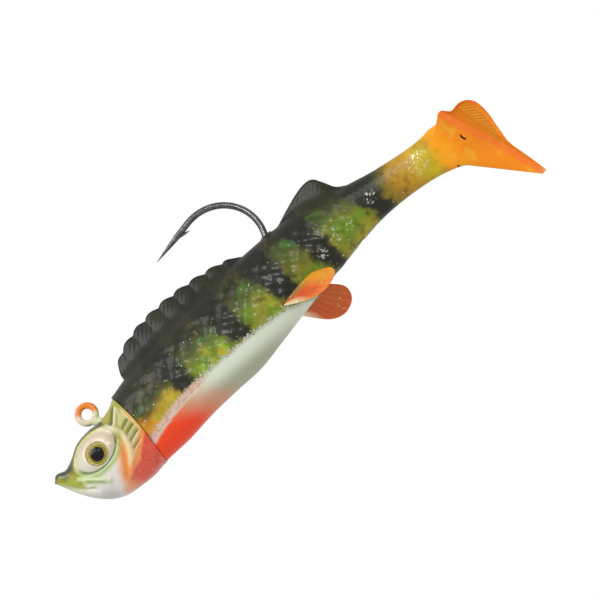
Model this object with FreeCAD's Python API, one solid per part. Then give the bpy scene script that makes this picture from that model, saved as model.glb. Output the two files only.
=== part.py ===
import FreeCAD, Part
import math
import os

# A swimbait: a soft plastic fish pushed onto a jig hook with a cast head. Millimetres.
# The origin is the centre of the line eye's hole. +X runs to the tail, +Z to the back, and the
# fish's left side faces -Y. The front of the fish is straight, and the tail rests curved to the left.

Vector = FreeCAD.Vector

# The spine: straight as far as the hook holds the body, a gentle arc to the left, then straight again.
STRAIGHT_LENGTH = 52.0
CURVE_END = 90.0
CURVE_RADIUS = 76.0

# The body's profile along the spine: station, back, belly, half width.
HEAD_PROFILE = [
    (-14.3, -4.9, -5.7, 0.4),
    (-13.1, -4.6, -8.6, 1.6),
    (-11.9, -4.8, -11.3, 2.4),
    (-10.2, -4.9, -14.0, 3.3),
    (-8.2, -4.2, -16.1, 4.1),
    (-5.6, -3.0, -17.6, 4.9),
    (-2.3, -2.8, -18.3, 5.4),
    (1.0, -3.2, -18.7, 5.7),
    (3.8, -2.6, -18.6, 5.8),
    (6.6, -1.2, -18.5, 5.8),
]
BODY_PROFILE = [
    (2.0, -1.6, -18.4, 5.2),
    (6.0, -1.2, -18.5, 5.4),
    (11.0, -0.5, -18.8, 5.6),
    (18.0, 0.1, -18.6, 5.7),
    (25.0, 0.2, -18.9, 5.7),
    (31.0, 0.1, -19.3, 5.6),
    (38.0, -0.1, -18.6, 5.4),
    (45.0, -0.5, -17.8, 5.0),
    (52.0, -1.2, -17.1, 4.6),
    (58.0, -2.2, -16.7, 4.1),
    (64.0, -4.0, -16.3, 3.5),
    (70.0, -6.5, -16.5, 3.0),
    (75.0, -8.5, -17.3, 2.6),
    (80.0, -10.2, -18.6, 2.2),
    (84.5, -11.6, -20.2, 2.0),
    (88.5, -12.4, -22.2, 2.0),
    (91.0, -12.5, -24.0, 2.3),
]
SECTION_POINTS = 16
SECTION_POWER = 2.3
BODY_STEP = 4.0

# The rear edge of the gill covers, in side view, and the body's clearance behind it.
GILL_EDGE = [(5.2, 1.0), (6.2, -8.0), (4.2, -20.0)]
GILL_CLEARANCE = 0.1

# The jig hook.
WIRE_RADIUS = 0.675
EYE_HOLE_RADIUS = 1.0
EYE_RING_RADIUS = 1.6
STALK_FOOT_X = 2.6
SHANK_Z = -5.6
STALK_BEND_RADIUS = 1.6
BEND_CENTRE_X = 42.7
BEND_RADIUS = 9.15
POINT_LEG_TURN = 186.0
POINT_LEG_LENGTH = 2.6
POINT_LENGTH = 7.4
POINT_TIP_RADIUS = 0.08
BARB_ROOT = 1.6
BARB_LENGTH = 3.4
BARB_LIFT = 1.1
BARB_HEEL = 0.75
BARB_THICKNESS = 0.5
WIRE_CLEARANCE = 0.05

# The keeper collar, cast with the head around the shank.
COLLAR_RADIUS = 1.9
COLLAR_END = 13.0
RIB_RADIUS = 2.5
RIB_LENGTH = 1.8
RIB_STARTS = (7.6, 10.4)
COLLAR_CLEARANCE = 0.1

# The eyes.
EYE_X = -3.93
EYE_Z = -8.64
EYE_FACE_Y = 5.0
EYE_RADIUS = 2.25
EYE_TURN = 7.0
SOCKET_DEPTH = 0.9
FOIL_THICKNESS = 0.3
LENS_RISE = 1.1
ORBIT_RADIUS = 3.5
ORBIT_RIM = 0.5

# The line between the back layer and the belly layer, in side view.
LAYER_LINE = [(0.0, -14.2), (14.0, -13.2), (24.0, -13.0), (38.0, -14.0), (60.0, -15.6)]

# The first dorsal fin: spiny, with a round lobe on every ray.
SPINY_FIN_START = 10.2
SPINY_FIN_END = 44.4
SPINY_FIN_LOBES = 9
SPINY_FIN_HEIGHT = 5.2
SPINY_FIN_THICKNESS = 1.8
SPINY_FIN_LEAD = 0.66
SPINY_FIN_FULLNESS = 0.7
SPINY_FIN_SINK = 0.4
LOBE_SWELL = 0.16

# The second dorsal fin, in side view.
SOFT_FIN_OUTLINE = [(53.0, -1.7), (57.7, -0.3), (61.5, 0.5), (64.2, 0.5), (66.3, -0.9), (67.4, -4.9)]
SOFT_FIN_THICKNESS = 1.8

# The places along the spine where the soft body bends.
REAR_JOINT = 58.5
STEM_JOINT = 75.5
PADDLE_JOINT = 87.5
JOINT_CLEARANCE = 0.12
LIP_ANGLE = 50.0

# The paddle: a leaning disc, wide above and drawn out to a narrow foot, and the fairing in front of
# it. The rim is height and half width, from the foot up.
PADDLE_TOP_STATION = 97.3
PADDLE_FOOT_STATION = 101.1
PADDLE_FOOT_HEIGHT = -36.9
PADDLE_RIM = [(-32.0, 0.8), (-27.5, 1.6), (-23.5, 3.8), (-20.0, 6.3), (-16.6, 7.0), (-13.6, 4.6)]
PADDLE_TOP_HEIGHT = -13.0
PADDLE_THICKNESS = 1.3
FAIRING_START = 90.0
FAIRING_INSET = 0.5

# The pelvic fins, in the plane of the fin: distance along the body, distance out from the root.
FIN_OUTLINE = [(43.2, 0.0), (48.4, 7.6), (51.4, 8.8), (54.4, 7.2), (54.9, 4.0), (52.0, 0.0)]
FIN_THICKNESS = 0.8
FIN_SPLAY = 46.0
FIN_ROOT_RADIUS = 0.5
FIN_ROOT_CLEARANCE = 0.1
FIN_ROOT_ANGLE = -37.0

REACH = 60.0  # longer than any cut has to be


def spine_turn(station):
    """How far the spine has turned to the left at a station, in radians."""
    return min(max(0.0, station - STRAIGHT_LENGTH), CURVE_END - STRAIGHT_LENGTH) / CURVE_RADIUS


def spine_point(station):
    """Where the spine is, in plan, at a distance along it."""
    turn = spine_turn(station)
    straight = min(station, STRAIGHT_LENGTH)
    tail = max(0.0, station - CURVE_END)
    x = straight + CURVE_RADIUS * math.sin(turn) + tail * math.cos(turn)
    y = -CURVE_RADIUS * (1.0 - math.cos(turn)) - tail * math.sin(turn)
    return Vector(x, y, 0.0)


def spine_heading(station):
    """The spine's direction in degrees. Left is negative."""
    return -math.degrees(spine_turn(station))


def on_spine(station, side, height):
    """The point beside the spine at a station."""
    heading = math.radians(spine_heading(station))
    across = Vector(-math.sin(heading), math.cos(heading), 0.0)
    return spine_point(station) + across * side + Vector(0.0, 0.0, height)


def profile_at(table, station):
    """Back, belly and half width at a station, smoothly between the table's rows."""
    last = len(table) - 2
    row = max(i for i in range(last + 1) if i == 0 or table[i][0] <= station)
    before, here, there, after = (table[max(0, row - 1)], table[row], table[row + 1],
                                  table[min(last + 1, row + 2)])
    span = there[0] - here[0]
    t = (station - here[0]) / span
    values = []
    for k in (1, 2, 3):
        slope_here = (there[k] - before[k]) / (there[0] - before[0])
        slope_there = (after[k] - here[k]) / (after[0] - here[0])
        values.append(
            here[k] * (1 + 2 * t) * (1 - t) ** 2 + slope_here * span * t * (1 - t) ** 2
            + there[k] * t * t * (3 - 2 * t) - slope_there * span * t * t * (1 - t))
    return values


def section_offset(back, belly, half_width, angle):
    """Side and height of a section's outline at an angle in degrees, 0 at the right flank."""
    c = math.cos(math.radians(angle))
    s = math.sin(math.radians(angle))
    side = half_width * math.copysign(abs(c) ** (2 / SECTION_POWER), c)
    rise = 0.5 * (back - belly) * math.copysign(abs(s) ** (2 / SECTION_POWER), s)
    return side, 0.5 * (back + belly) + rise


def closed_curve(points):
    """A smooth closed wire through the points."""
    curve = Part.BSplineCurve()
    curve.interpolate(points, PeriodicFlag=True)
    return Part.Wire([curve.toShape()])


def ring(table, station, count):
    """One cross-section of the fish as station, side and height, from the belly round by the right."""
    back, belly, half_width = profile_at(table, station)
    angles = [360.0 * i / count - 90.0 for i in range(count)]
    return [(station, *section_offset(back, belly, half_width, angle)) for angle in angles]


def loft(rings):
    """The solid through closed rings of station, side and height."""
    return Part.makeLoft([closed_curve([on_spine(*place) for place in one]) for one in rings], True)


def skin(table, first, last, step):
    """The solid through the cross-sections from one station to another."""
    count = max(2, round((last - first) / step))
    stations = [first + (last - first) * i / count for i in range(count + 1)]
    return loft([ring(table, station, SECTION_POINTS) for station in stations])


def side_prism(edges, half_thickness):
    """A plate through the mid-plane from an outline drawn in side view."""
    face = Part.Face(Part.Wire(edges))
    face.translate(Vector(0.0, -half_thickness, 0.0))
    return face.extrude(Vector(0.0, 2 * half_thickness, 0.0))


def in_side_view(points):
    """Points of the mid-plane from x, z pairs."""
    return [Vector(x, 0.0, z) for x, z in points]


def lines(points):
    """Straight edges through the points."""
    return [Part.LineSegment(a, b).toShape() for a, b in zip(points, points[1:])]


def smooth_edge(points):
    """One smooth edge through the points."""
    curve = Part.BSplineCurve()
    curve.interpolate(points)
    return curve.toShape()


# The head, the hook and the eyes.

def gill_side(clearance, forward):
    """The space in front of the gill edge, or behind it."""
    start, middle, end = in_side_view([(x + clearance, z) for x, z in GILL_EDGE])
    arc = Part.Arc(start, middle, end).toShape()
    far_x = -REACH if forward else 2 * REACH
    corners = [end, Vector(far_x, 0, end.z), Vector(far_x, 0, start.z), start]
    return side_prism([arc] + lines(corners), REACH)


def shank_cylinder(radius, start, end):
    """A cylinder around the hook's shank."""
    return Part.makeCylinder(radius, end - start, Vector(start, 0, SHANK_Z), Vector(1, 0, 0))


def collar(clearance):
    """The keeper collar with its conical ribs, which point back."""
    shape = shank_cylinder(COLLAR_RADIUS + clearance, 0.0, COLLAR_END + clearance)
    for start in RIB_STARTS:
        rib = Part.makeCone(RIB_RADIUS + clearance, COLLAR_RADIUS + clearance, RIB_LENGTH + clearance,
                            Vector(start - clearance, 0, SHANK_Z), Vector(1, 0, 0))
        shape = shape.fuse(rib)
    return shape


def hook_path():
    """The wire's centre line from the eye's stalk to the start of the point."""
    eye_foot = Vector(0.0, 0.0, -EYE_RING_RADIUS)
    corner = Vector(STALK_FOOT_X, 0.0, SHANK_Z)
    stalk = (corner - eye_foot).normalize()
    along = Vector(1.0, 0.0, 0.0)
    half_turn = 0.5 * math.acos(stalk.dot(along))
    trim = STALK_BEND_RADIUS * math.tan(half_turn)
    bend_start = corner - stalk * trim
    bend_end = corner + along * trim
    inward = (along - stalk).normalize()
    bend_middle = corner + inward * STALK_BEND_RADIUS * (1 / math.cos(half_turn) - 1)
    first = Part.LineSegment(eye_foot, bend_start).toShape()
    turn = Part.Arc(bend_start, bend_middle, bend_end).toShape()
    shank_end = Vector(BEND_CENTRE_X, 0.0, SHANK_Z)
    shank = Part.LineSegment(bend_end, shank_end).toShape()
    bend = Part.Arc(shank_end, bend_point(0.5 * POINT_LEG_TURN), bend_point(POINT_LEG_TURN)).toShape()
    leg_end = bend_point(POINT_LEG_TURN) + point_direction() * POINT_LEG_LENGTH
    leg = Part.LineSegment(bend_point(POINT_LEG_TURN), leg_end).toShape()
    return Part.Wire([first, turn, shank, bend, leg])


def bend_point(turn):
    """A point of the hook's bend, by how far the wire has turned in degrees."""
    angle = math.radians(turn - 90.0)
    centre_z = SHANK_Z + BEND_RADIUS
    return Vector(BEND_CENTRE_X + BEND_RADIUS * math.cos(angle), 0.0,
                  centre_z + BEND_RADIUS * math.sin(angle))


def point_direction():
    """The direction in which the point leg runs."""
    angle = math.radians(POINT_LEG_TURN)
    return Vector(math.cos(angle), 0.0, math.sin(angle))


def hook_wire(clearance):
    """The round wire along the hook's path."""
    path = hook_path()
    start = path.Edges[0].Vertexes[0].Point
    direction = path.Edges[0].tangentAt(path.Edges[0].FirstParameter)
    ring = Part.Wire([Part.Circle(start, direction, WIRE_RADIUS + clearance).toShape()])
    return path.makePipe(Part.Face(ring))


def barb(point_start):
    """The barb: a sliver that lifts from the inner side of the wire and points back to the bend."""
    back = point_direction() * -1
    root = point_start - back * BARB_ROOT
    inner = Vector(back.z, 0.0, -back.x) * math.copysign(1.0, back.x)
    foot = root + inner * (0.5 * WIRE_RADIUS)
    tip = foot + back * BARB_LENGTH + inner * BARB_LIFT
    heel = foot + back * (BARB_HEEL * BARB_LENGTH)
    return side_prism(lines([foot, tip, heel, foot]), 0.5 * BARB_THICKNESS)


def jig_hook():
    """The whole hook: ring eye, stalk, shank, bend, point and barb."""
    ring = Part.makeTorus(EYE_RING_RADIUS, WIRE_RADIUS, Vector(0, 0, 0), Vector(0, 1, 0))
    point_start = bend_point(POINT_LEG_TURN) + point_direction() * POINT_LEG_LENGTH
    point = Part.makeCone(WIRE_RADIUS, POINT_TIP_RADIUS, POINT_LENGTH, point_start, point_direction())
    hook = hook_wire(0.0).fuse(ring).fuse(point).fuse(barb(point_start)).removeSplitter()
    hole = Part.makeCylinder(EYE_HOLE_RADIUS, 4 * WIRE_RADIUS, Vector(0, -2 * WIRE_RADIUS, 0), Vector(0, 1, 0))
    return hook.cut(hole)


def eye_axis(side):
    """The outward direction of an eye. The side is -1 for the left and 1 for the right."""
    turn = math.radians(EYE_TURN)
    return Vector(-math.sin(turn), side * math.cos(turn), 0.0)


def eye_disc(side, radius, inner, outer):
    """A disc in an eye, between two distances from the eye's face, measured outward."""
    face = Vector(EYE_X, side * EYE_FACE_Y, EYE_Z)
    return Part.makeCylinder(radius, outer - inner, face + eye_axis(side) * inner, eye_axis(side))


def eye_foil(side):
    """The printed disc at the bottom of the socket."""
    return eye_disc(side, EYE_RADIUS, -SOCKET_DEPTH, FOIL_THICKNESS - SOCKET_DEPTH)


def eye_lens(side):
    """The clear dome over the foil."""
    dome_radius = (EYE_RADIUS ** 2 + LENS_RISE ** 2) / (2 * LENS_RISE)
    back = FOIL_THICKNESS - SOCKET_DEPTH
    face = Vector(EYE_X, side * EYE_FACE_Y, EYE_Z) + eye_axis(side) * back
    ball = Part.makeSphere(dome_radius, face + eye_axis(side) * (LENS_RISE - dome_radius))
    return ball.common(eye_disc(side, EYE_RADIUS, back, back + 2 * LENS_RISE))


def jig_head():
    """The cast head: skull, raised eye rims, gill covers and keeper collar, cast around the hook."""
    skull = skin(HEAD_PROFILE, HEAD_PROFILE[0][0], HEAD_PROFILE[-1][0], 1.5)
    for side in (-1, 1):
        skull = skull.fuse(eye_disc(side, ORBIT_RADIUS, -2.0, ORBIT_RIM))
    skull = skull.common(gill_side(0.0, True)).fuse(collar(0.0))
    for side in (-1, 1):
        skull = skull.cut(eye_disc(side, EYE_RADIUS, -SOCKET_DEPTH, 2.0))
    return skull.cut(hook_wire(0.0))


# The soft body.

def spiny_fin():
    """The first dorsal fin, with a round lobe on every ray."""
    count = SPINY_FIN_LOBES
    length = SPINY_FIN_END - SPINY_FIN_START
    tips = []
    for i in range(count + 1):
        along = i / count
        rise = SPINY_FIN_HEIGHT * math.sin(math.pi * along ** SPINY_FIN_LEAD) ** SPINY_FIN_FULLNESS
        tips.append(Vector(SPINY_FIN_START + length * along, 0.0, max(0.0, rise) - SPINY_FIN_SINK))
    edges = []
    for a, b in zip(tips, tips[1:]):
        swell = Vector(a.z - b.z, 0.0, b.x - a.x).normalize() * (LOBE_SWELL * (b - a).Length)
        edges.append(Part.Arc(a, (a + b) * 0.5 + swell, b).toShape())
    root = [tips[-1], tips[-1] - Vector(2.0, 0, 3.0), tips[0] + Vector(2.0, 0, -3.0), tips[0]]
    return side_prism(edges + lines(root), 0.5 * SPINY_FIN_THICKNESS)


def soft_fin():
    """The second dorsal fin, which follows the curve of the spine."""
    outline = in_side_view(SOFT_FIN_OUTLINE)
    root = [outline[-1], outline[-1] + Vector(-1.5, 0, -2.5), outline[0] + Vector(1.0, 0, -3.0), outline[0]]
    fin = side_prism([smooth_edge(outline)] + lines(root), 0.5 * SOFT_FIN_THICKNESS)
    middle = 0.5 * (SOFT_FIN_OUTLINE[0][0] + SOFT_FIN_OUTLINE[-1][0])
    fin.translate(spine_point(middle) - Vector(middle, 0, 0))
    fin.rotate(spine_point(middle), Vector(0, 0, 1), spine_heading(middle))
    return fin


def joint_radius(station):
    """The radius of a bend's round end: the body's half width there."""
    return profile_at(BODY_PROFILE, station)[2]


def joint_cylinder(station, clearance):
    """The upright cylinder around a bend's axis."""
    return Part.makeCylinder(joint_radius(station) + clearance, 2 * REACH,
                             spine_point(station) - Vector(0, 0, REACH))


def behind(station, setback):
    """Everything behind a plane across the spine, the setback in front of the station."""
    box = Part.makeBox(2 * REACH, 2 * REACH, 2 * REACH, Vector(-setback, -REACH, -REACH))
    box.rotate(Vector(0, 0, 0), Vector(0, 0, 1), spine_heading(station))
    box.translate(spine_point(station))
    return box


def behind_joint(body, station):
    """The part of the body behind a bend, with a round front end."""
    return body.common(behind(station, 0.0).fuse(joint_cylinder(station, 0.0)))


def ahead_of_joint(body, station):
    """The part of the body in front of a bend, hollowed for the round end behind it."""
    lip = (joint_radius(station) + JOINT_CLEARANCE) * math.cos(math.radians(LIP_ANGLE))
    return body.cut(behind(station, lip)).cut(joint_cylinder(station, JOINT_CLEARANCE))


def below_layer_line():
    """The space of the belly layer."""
    top = in_side_view(LAYER_LINE)
    corners = [top[-1], Vector(top[-1].x, 0, -REACH), Vector(top[0].x, 0, -REACH), top[0]]
    return side_prism([smooth_edge(top)] + lines(corners), REACH)


def front_body(fish):
    """The part of the soft body that the hook holds straight."""
    front = ahead_of_joint(fish, REAR_JOINT).cut(gill_side(GILL_CLEARANCE, True))
    front = front.cut(collar(COLLAR_CLEARANCE)).cut(hook_wire(WIRE_CLEARANCE))
    for side in (-1, 1):
        front = front.cut(fin_root(side, FIN_ROOT_CLEARANCE))
    return front


# The tail paddle.

def paddle_ring(shrink, shift):
    """The disc's outline from the foot round by the right, shrunk all round and moved along the spine."""
    middle = 0.5 * (PADDLE_TOP_HEIGHT + PADDLE_FOOT_HEIGHT)
    squeeze = 1 - 2 * shrink / (PADDLE_TOP_HEIGHT - PADDLE_FOOT_HEIGHT)
    right = [(height, max(0.3, half - shrink)) for height, half in PADDLE_RIM]
    left = [(height, -half) for height, half in reversed(right)]
    lean = (PADDLE_TOP_STATION - PADDLE_FOOT_STATION) / (PADDLE_TOP_HEIGHT - PADDLE_FOOT_HEIGHT)
    places = []
    for height, side in [(PADDLE_FOOT_HEIGHT, 0.0)] + right + [(PADDLE_TOP_HEIGHT, 0.0)] + left:
        height = middle + (height - middle) * squeeze
        places.append((PADDLE_FOOT_STATION + (height - PADDLE_FOOT_HEIGHT) * lean + shift, side, height))
    return places


def flared(start, end, t):
    """The ring part of the way from one ring to another. It widens late."""
    shares = (t, t * t, t)
    return [tuple(a + (b - a) * share for a, b, share in zip(p, q, shares)) for p, q in zip(start, end)]


def tail_paddle(fish):
    """The paddle: its root behind the bend, the fairing and the disc."""
    root = behind_joint(fish, PADDLE_JOINT)
    end = paddle_ring(FAIRING_INSET, -0.5 * PADDLE_THICKNESS)
    start = ring(BODY_PROFILE, FAIRING_START, len(end))
    fairing = loft([flared(start, end, t) for t in (0.0, 0.35, 0.7, 1.0)])
    disc = loft([paddle_ring(0.0, -PADDLE_THICKNESS), paddle_ring(0.0, 0.0)])
    return root.fuse(fairing).fuse(disc)


# The pelvic fins.

def fin_root_point(station, side):
    """Where a fin's root meets the flank."""
    back, belly, half_width = profile_at(BODY_PROFILE, station)
    out, height = section_offset(back, belly, half_width, FIN_ROOT_ANGLE)
    return Vector(station, side * out, height)


def fin_root(side, clearance):
    """The round root along a fin's base, which the fin turns on."""
    start = fin_root_point(FIN_OUTLINE[0][0], side)
    end = fin_root_point(FIN_OUTLINE[-1][0], side)
    along = (end - start).normalize()
    return Part.makeCylinder(FIN_ROOT_RADIUS + clearance, (end - start).Length + 2 * clearance,
                             start - along * clearance, along)


def pelvic_fin(side):
    """One pelvic fin with its root, splayed out from the belly."""
    start = fin_root_point(FIN_OUTLINE[0][0], side)
    end = fin_root_point(FIN_OUTLINE[-1][0], side)
    along = (end - start).normalize()
    splay = math.radians(FIN_SPLAY)
    out = Vector(0.0, side * math.sin(splay), -math.cos(splay))
    out = (out - along * out.dot(along)).normalize()
    normal = along.cross(out)
    first = FIN_OUTLINE[0][0]
    points = [start + along * (x - first) + out * reach for x, reach in FIN_OUTLINE]
    face = Part.Face(Part.Wire([smooth_edge(points)] + lines([points[-1], points[0]])))
    face.translate(normal * (-0.5 * FIN_THICKNESS))
    plate = face.extrude(normal * FIN_THICKNESS)
    return plate.fuse(fin_root(side, 0.0))


def build():
    """Every node by name."""
    fish = skin(BODY_PROFILE, BODY_PROFILE[0][0], BODY_PROFILE[-1][0], BODY_STEP)
    fish = fish.fuse(spiny_fin()).fuse(soft_fin())
    front = front_body(fish)
    belly_space = below_layer_line()
    nodes = {
        "jig_head": jig_head(),
        "jig_hook": jig_hook(),
        "soft_back": front.cut(belly_space),
        "soft_belly": front.common(belly_space),
        "rear_body": ahead_of_joint(behind_joint(fish, REAR_JOINT), STEM_JOINT),
        "tail_stem": ahead_of_joint(behind_joint(fish, STEM_JOINT), PADDLE_JOINT),
        "tail_paddle": tail_paddle(fish),
    }
    for name, side in (("left", -1), ("right", 1)):
        nodes[name + "_eye_foil"] = eye_foil(side)
        nodes[name + "_eye_lens"] = eye_lens(side)
        nodes[name + "_pelvic_fin"] = pelvic_fin(side)
    return nodes


os.makedirs("parts", exist_ok=True)
for node, shape in build().items():
    box = shape.BoundBox
    print(f"{node}: solids {len(shape.Solids)}, valid {shape.isValid()}, volume {shape.Volume:.1f}, "
          f"x {box.XMin:.1f}..{box.XMax:.1f}, y {box.YMin:.1f}..{box.YMax:.1f}, "
          f"z {box.ZMin:.1f}..{box.ZMax:.1f}")
    shape.exportStep(f"parts/{node}.step")
for joint in (REAR_JOINT, STEM_JOINT, PADDLE_JOINT):
    print("joint", joint, spine_point(joint), round(spine_heading(joint), 2), round(joint_radius(joint), 2))
for side in (-1, 1):
    print("fin root", fin_root_point(FIN_OUTLINE[0][0], side), fin_root_point(FIN_OUTLINE[-1][0], side))
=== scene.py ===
import math

import bmesh
import bpy
import numpy as np
from mathutils import Matrix, Vector


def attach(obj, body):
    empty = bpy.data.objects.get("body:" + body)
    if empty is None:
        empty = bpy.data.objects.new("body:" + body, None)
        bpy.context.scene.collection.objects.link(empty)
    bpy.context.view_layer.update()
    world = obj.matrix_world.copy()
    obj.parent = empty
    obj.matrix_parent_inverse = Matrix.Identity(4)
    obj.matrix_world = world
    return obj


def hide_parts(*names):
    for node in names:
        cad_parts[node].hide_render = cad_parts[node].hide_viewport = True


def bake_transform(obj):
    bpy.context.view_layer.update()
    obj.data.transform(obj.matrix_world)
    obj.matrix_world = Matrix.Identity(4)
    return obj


# A swimbait: a soft plastic perch on a jig hook with a painted head. Lengths are in millimetres, in the
# fish's own frame, until a mesh is made: the origin is the centre of the line eye's hole, +X runs to the
# tail, +Z to the back, and the left side faces -Y. "Station" is the distance along the spine.

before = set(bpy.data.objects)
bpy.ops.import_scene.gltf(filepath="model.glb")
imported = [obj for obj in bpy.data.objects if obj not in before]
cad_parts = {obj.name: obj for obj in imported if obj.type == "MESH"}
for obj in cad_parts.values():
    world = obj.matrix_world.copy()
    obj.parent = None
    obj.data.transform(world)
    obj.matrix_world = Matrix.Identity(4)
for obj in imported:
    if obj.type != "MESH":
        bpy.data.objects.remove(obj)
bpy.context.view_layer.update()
MM = 0.001

# The spine, as in the CAD model: straight, a gentle arc to the left, then straight again.
STRAIGHT_LENGTH = 52.0
CURVE_END = 90.0
CURVE_RADIUS = 76.0

# Station, back, belly, half width.
HEAD_PROFILE = [
    (-14.3, -4.9, -5.7, 0.4),
    (-13.1, -4.6, -8.6, 1.6),
    (-11.9, -4.8, -11.3, 2.4),
    (-10.2, -4.9, -14.0, 3.3),
    (-8.2, -4.2, -16.1, 4.1),
    (-5.6, -3.0, -17.6, 4.9),
    (-2.3, -2.8, -18.3, 5.4),
    (1.0, -3.2, -18.7, 5.7),
    (3.8, -2.6, -18.6, 5.8),
    (6.6, -1.2, -18.5, 5.8),
]
BODY_PROFILE = [
    (2.0, -1.6, -18.4, 5.2),
    (6.0, -1.2, -18.5, 5.4),
    (11.0, -0.5, -18.8, 5.6),
    (18.0, 0.1, -18.6, 5.7),
    (25.0, 0.2, -18.9, 5.7),
    (31.0, 0.1, -19.3, 5.6),
    (38.0, -0.1, -18.6, 5.4),
    (45.0, -0.5, -17.8, 5.0),
    (52.0, -1.2, -17.1, 4.6),
    (58.0, -2.2, -16.7, 4.1),
    (64.0, -4.0, -16.3, 3.5),
    (70.0, -6.5, -16.5, 3.0),
    (75.0, -8.5, -17.3, 2.6),
    (80.0, -10.2, -18.6, 2.2),
    (84.5, -11.6, -20.2, 2.0),
    (88.5, -12.4, -22.2, 2.0),
    (91.0, -12.5, -24.0, 2.3),
]
SECTION_POWER = 2.3
SHOULDER_POWER = 1.55
ROOT_EASE = 16.0
ROOT_EASE_ROUNDS = 60
GILL_EDGE = [(-20.0, 4.2), (-8.0, 6.2), (1.0, 5.2)]  # height, station
GILL_CLEARANCE = 0.1
SHANK_HEIGHT = -5.6
HOOK_EXIT = 50.9
LIP_RADIUS, LIP_WIDTH, LIP_HEIGHT = 0.85, 0.45, 0.35
COLLAR_HOLE = 2.0
COLLAR_END = 13.1

# The soft body's mesh, and where its three skins meet.
RING_START = 5.3
RING_STEP = 0.22
FLANK_POINTS = 108
FIN_POINTS = 28
SKIN_ENDS = (67.0, 81.5)
FIN_ROOT_HALF_WIDTH = 1.9
FIN_TIP_HALF_WIDTH = 0.42
FIN_TIP_ROUND = 0.1
LOW_FIN = 0.8

# The dorsal fins.
SPINY_FIN_START = 10.2
SPINY_FIN_END = 44.4
SPINY_FIN_LOBES = 9
SPINY_FIN_HEIGHT = 5.2
SPINY_FIN_LEAD = 0.66
SPINY_FIN_FULLNESS = 0.7
SPINY_FIN_SINK = 0.4
LOBE_RISE = 0.62
NO_FIN = -99.0  # a height below everything
SOFT_FIN = [(51.5, -1.9), (54.0, -1.35), (57.7, -0.3), (61.5, 0.5), (64.0, 0.55), (65.6, -0.2),
            (66.6, -2.2), (67.6, -4.6), (69.5, -6.3)]  # station, height of the edge
RAY_SPACING = 1.24
RAY_HEIGHT = 0.04
RAY_LEAN = 0.95

# The scales: rows of round-ended plates, each lying over the one behind it.
SCALE_LENGTH = 1.3
SCALE_WIDTH = 1.15
SCALE_REACH = 0.8
SCALE_HEIGHT = 0.06
THROAT_WAVE = 0.1
LUMP_HEIGHT = 0.12
LUMPS = [(1.31, 0.9, 0.0), (0.83, -1.47, 2.0), (1.9, 1.7, 1.0), (-1.6, 2.3, 0.5)]  # waves of unevenness

# The tail paddle: a leaning disc with two lobes above, drawn out to a foot.
PADDLE_TOP = (97.3, -13.0)
PADDLE_FOOT = (101.1, -36.9)
PADDLE_RIM = [  # degrees round from the foot, side, height
    (0, 0.0, -36.9), (25, 0.5, -32.0), (50, 0.9, -27.2), (75, 4.0, -22.6), (98, 6.8, -19.0),
    (120, 8.3, -16.2), (138, 8.4, -14.4), (156, 6.8, -13.4), (174, 3.9, -13.3), (190, 0.8, -13.9),
    (204, -1.6, -14.6), (216, -3.4, -15.0), (227, -5.0, -14.5), (236, -6.2, -14.0), (247, -5.8, -15.4),
    (262, -5.1, -17.2), (285, -3.9, -21.2), (310, -1.6, -26.6), (335, -0.8, -32.0)]
FAIRING_START = 90.0
FAIRING_RINGS = 40
PADDLE_RIM_STEPS = [  # share of the way in from the rim, shift of the face
    (0.02, -0.95), (0.0, -0.6), (0.01, -0.2), (0.03, 0.0), (0.06, 0.1), (0.09, 0.1), (0.12, 0.0),
    (0.16, -0.3), (0.2, -0.5)]
PADDLE_MID_HEIGHTS = (-33.0, -15.0)
PADDLE_RIB_SPACING = 0.9
PADDLE_RIB_HEIGHT = 0.16
PADDLE_CROWN = 0.25


# Plain numbers.

def smooth(low, high, value):
    """0 below low, 1 above high, and a smooth step between."""
    t = np.clip((value - low) / (high - low), 0.0, 1.0)
    return t * t * (3.0 - 2.0 * t)


def bump(distance, width):
    """A round bump of height 1 on the line where the distance is 0."""
    return np.exp(-(distance / width) ** 2)


def curve_through(points, at):
    """The smooth curve through (place, value) points, read at other places."""
    places, values = np.array(points, float).T
    slopes = np.empty_like(values)
    slopes[1:-1] = (values[2:] - values[:-2]) / (places[2:] - places[:-2])
    slopes[0] = (values[1] - values[0]) / (places[1] - places[0])
    slopes[-1] = (values[-1] - values[-2]) / (places[-1] - places[-2])
    at = np.clip(at, places[0], places[-1])
    row = np.clip(np.searchsorted(places, at, side="right") - 1, 0, len(places) - 2)
    span = places[row + 1] - places[row]
    t = (at - places[row]) / span
    return (values[row] * (1 + 2 * t) * (1 - t) ** 2 + slopes[row] * span * t * (1 - t) ** 2
            + values[row + 1] * t * t * (3 - 2 * t) - slopes[row + 1] * span * t * t * (1 - t))


def profile(table, station):
    """Back, belly and half width at stations."""
    return [curve_through([(row[0], row[k]) for row in table], station) for k in (1, 2, 3)]


def gill_station(height):
    """The station of the gill covers' rear edge at a height: an arc through its three points."""
    (z0, x0), (z1, x1), (z2, x2) = GILL_EDGE
    share = (height - z0) / (z2 - z0)
    middle = (z1 - z0) / (z2 - z0)
    swell = (x1 - x0 - (x2 - x0) * middle) / (middle * (1 - middle))
    return x0 + (x2 - x0) * share + swell * share * (1 - share)


def on_spine(station, side, height):
    """Points beside the spine."""
    turn = np.clip(station - STRAIGHT_LENGTH, 0.0, CURVE_END - STRAIGHT_LENGTH) / CURVE_RADIUS
    straight = np.minimum(station, STRAIGHT_LENGTH)
    beyond = np.maximum(station - CURVE_END, 0.0)
    x = straight + CURVE_RADIUS * np.sin(turn) + beyond * np.cos(turn) + side * np.sin(turn)
    y = -CURVE_RADIUS * (1 - np.cos(turn)) - beyond * np.sin(turn) + side * np.cos(turn)
    return np.stack([x, y, height + 0.0 * x], axis=-1)


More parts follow.
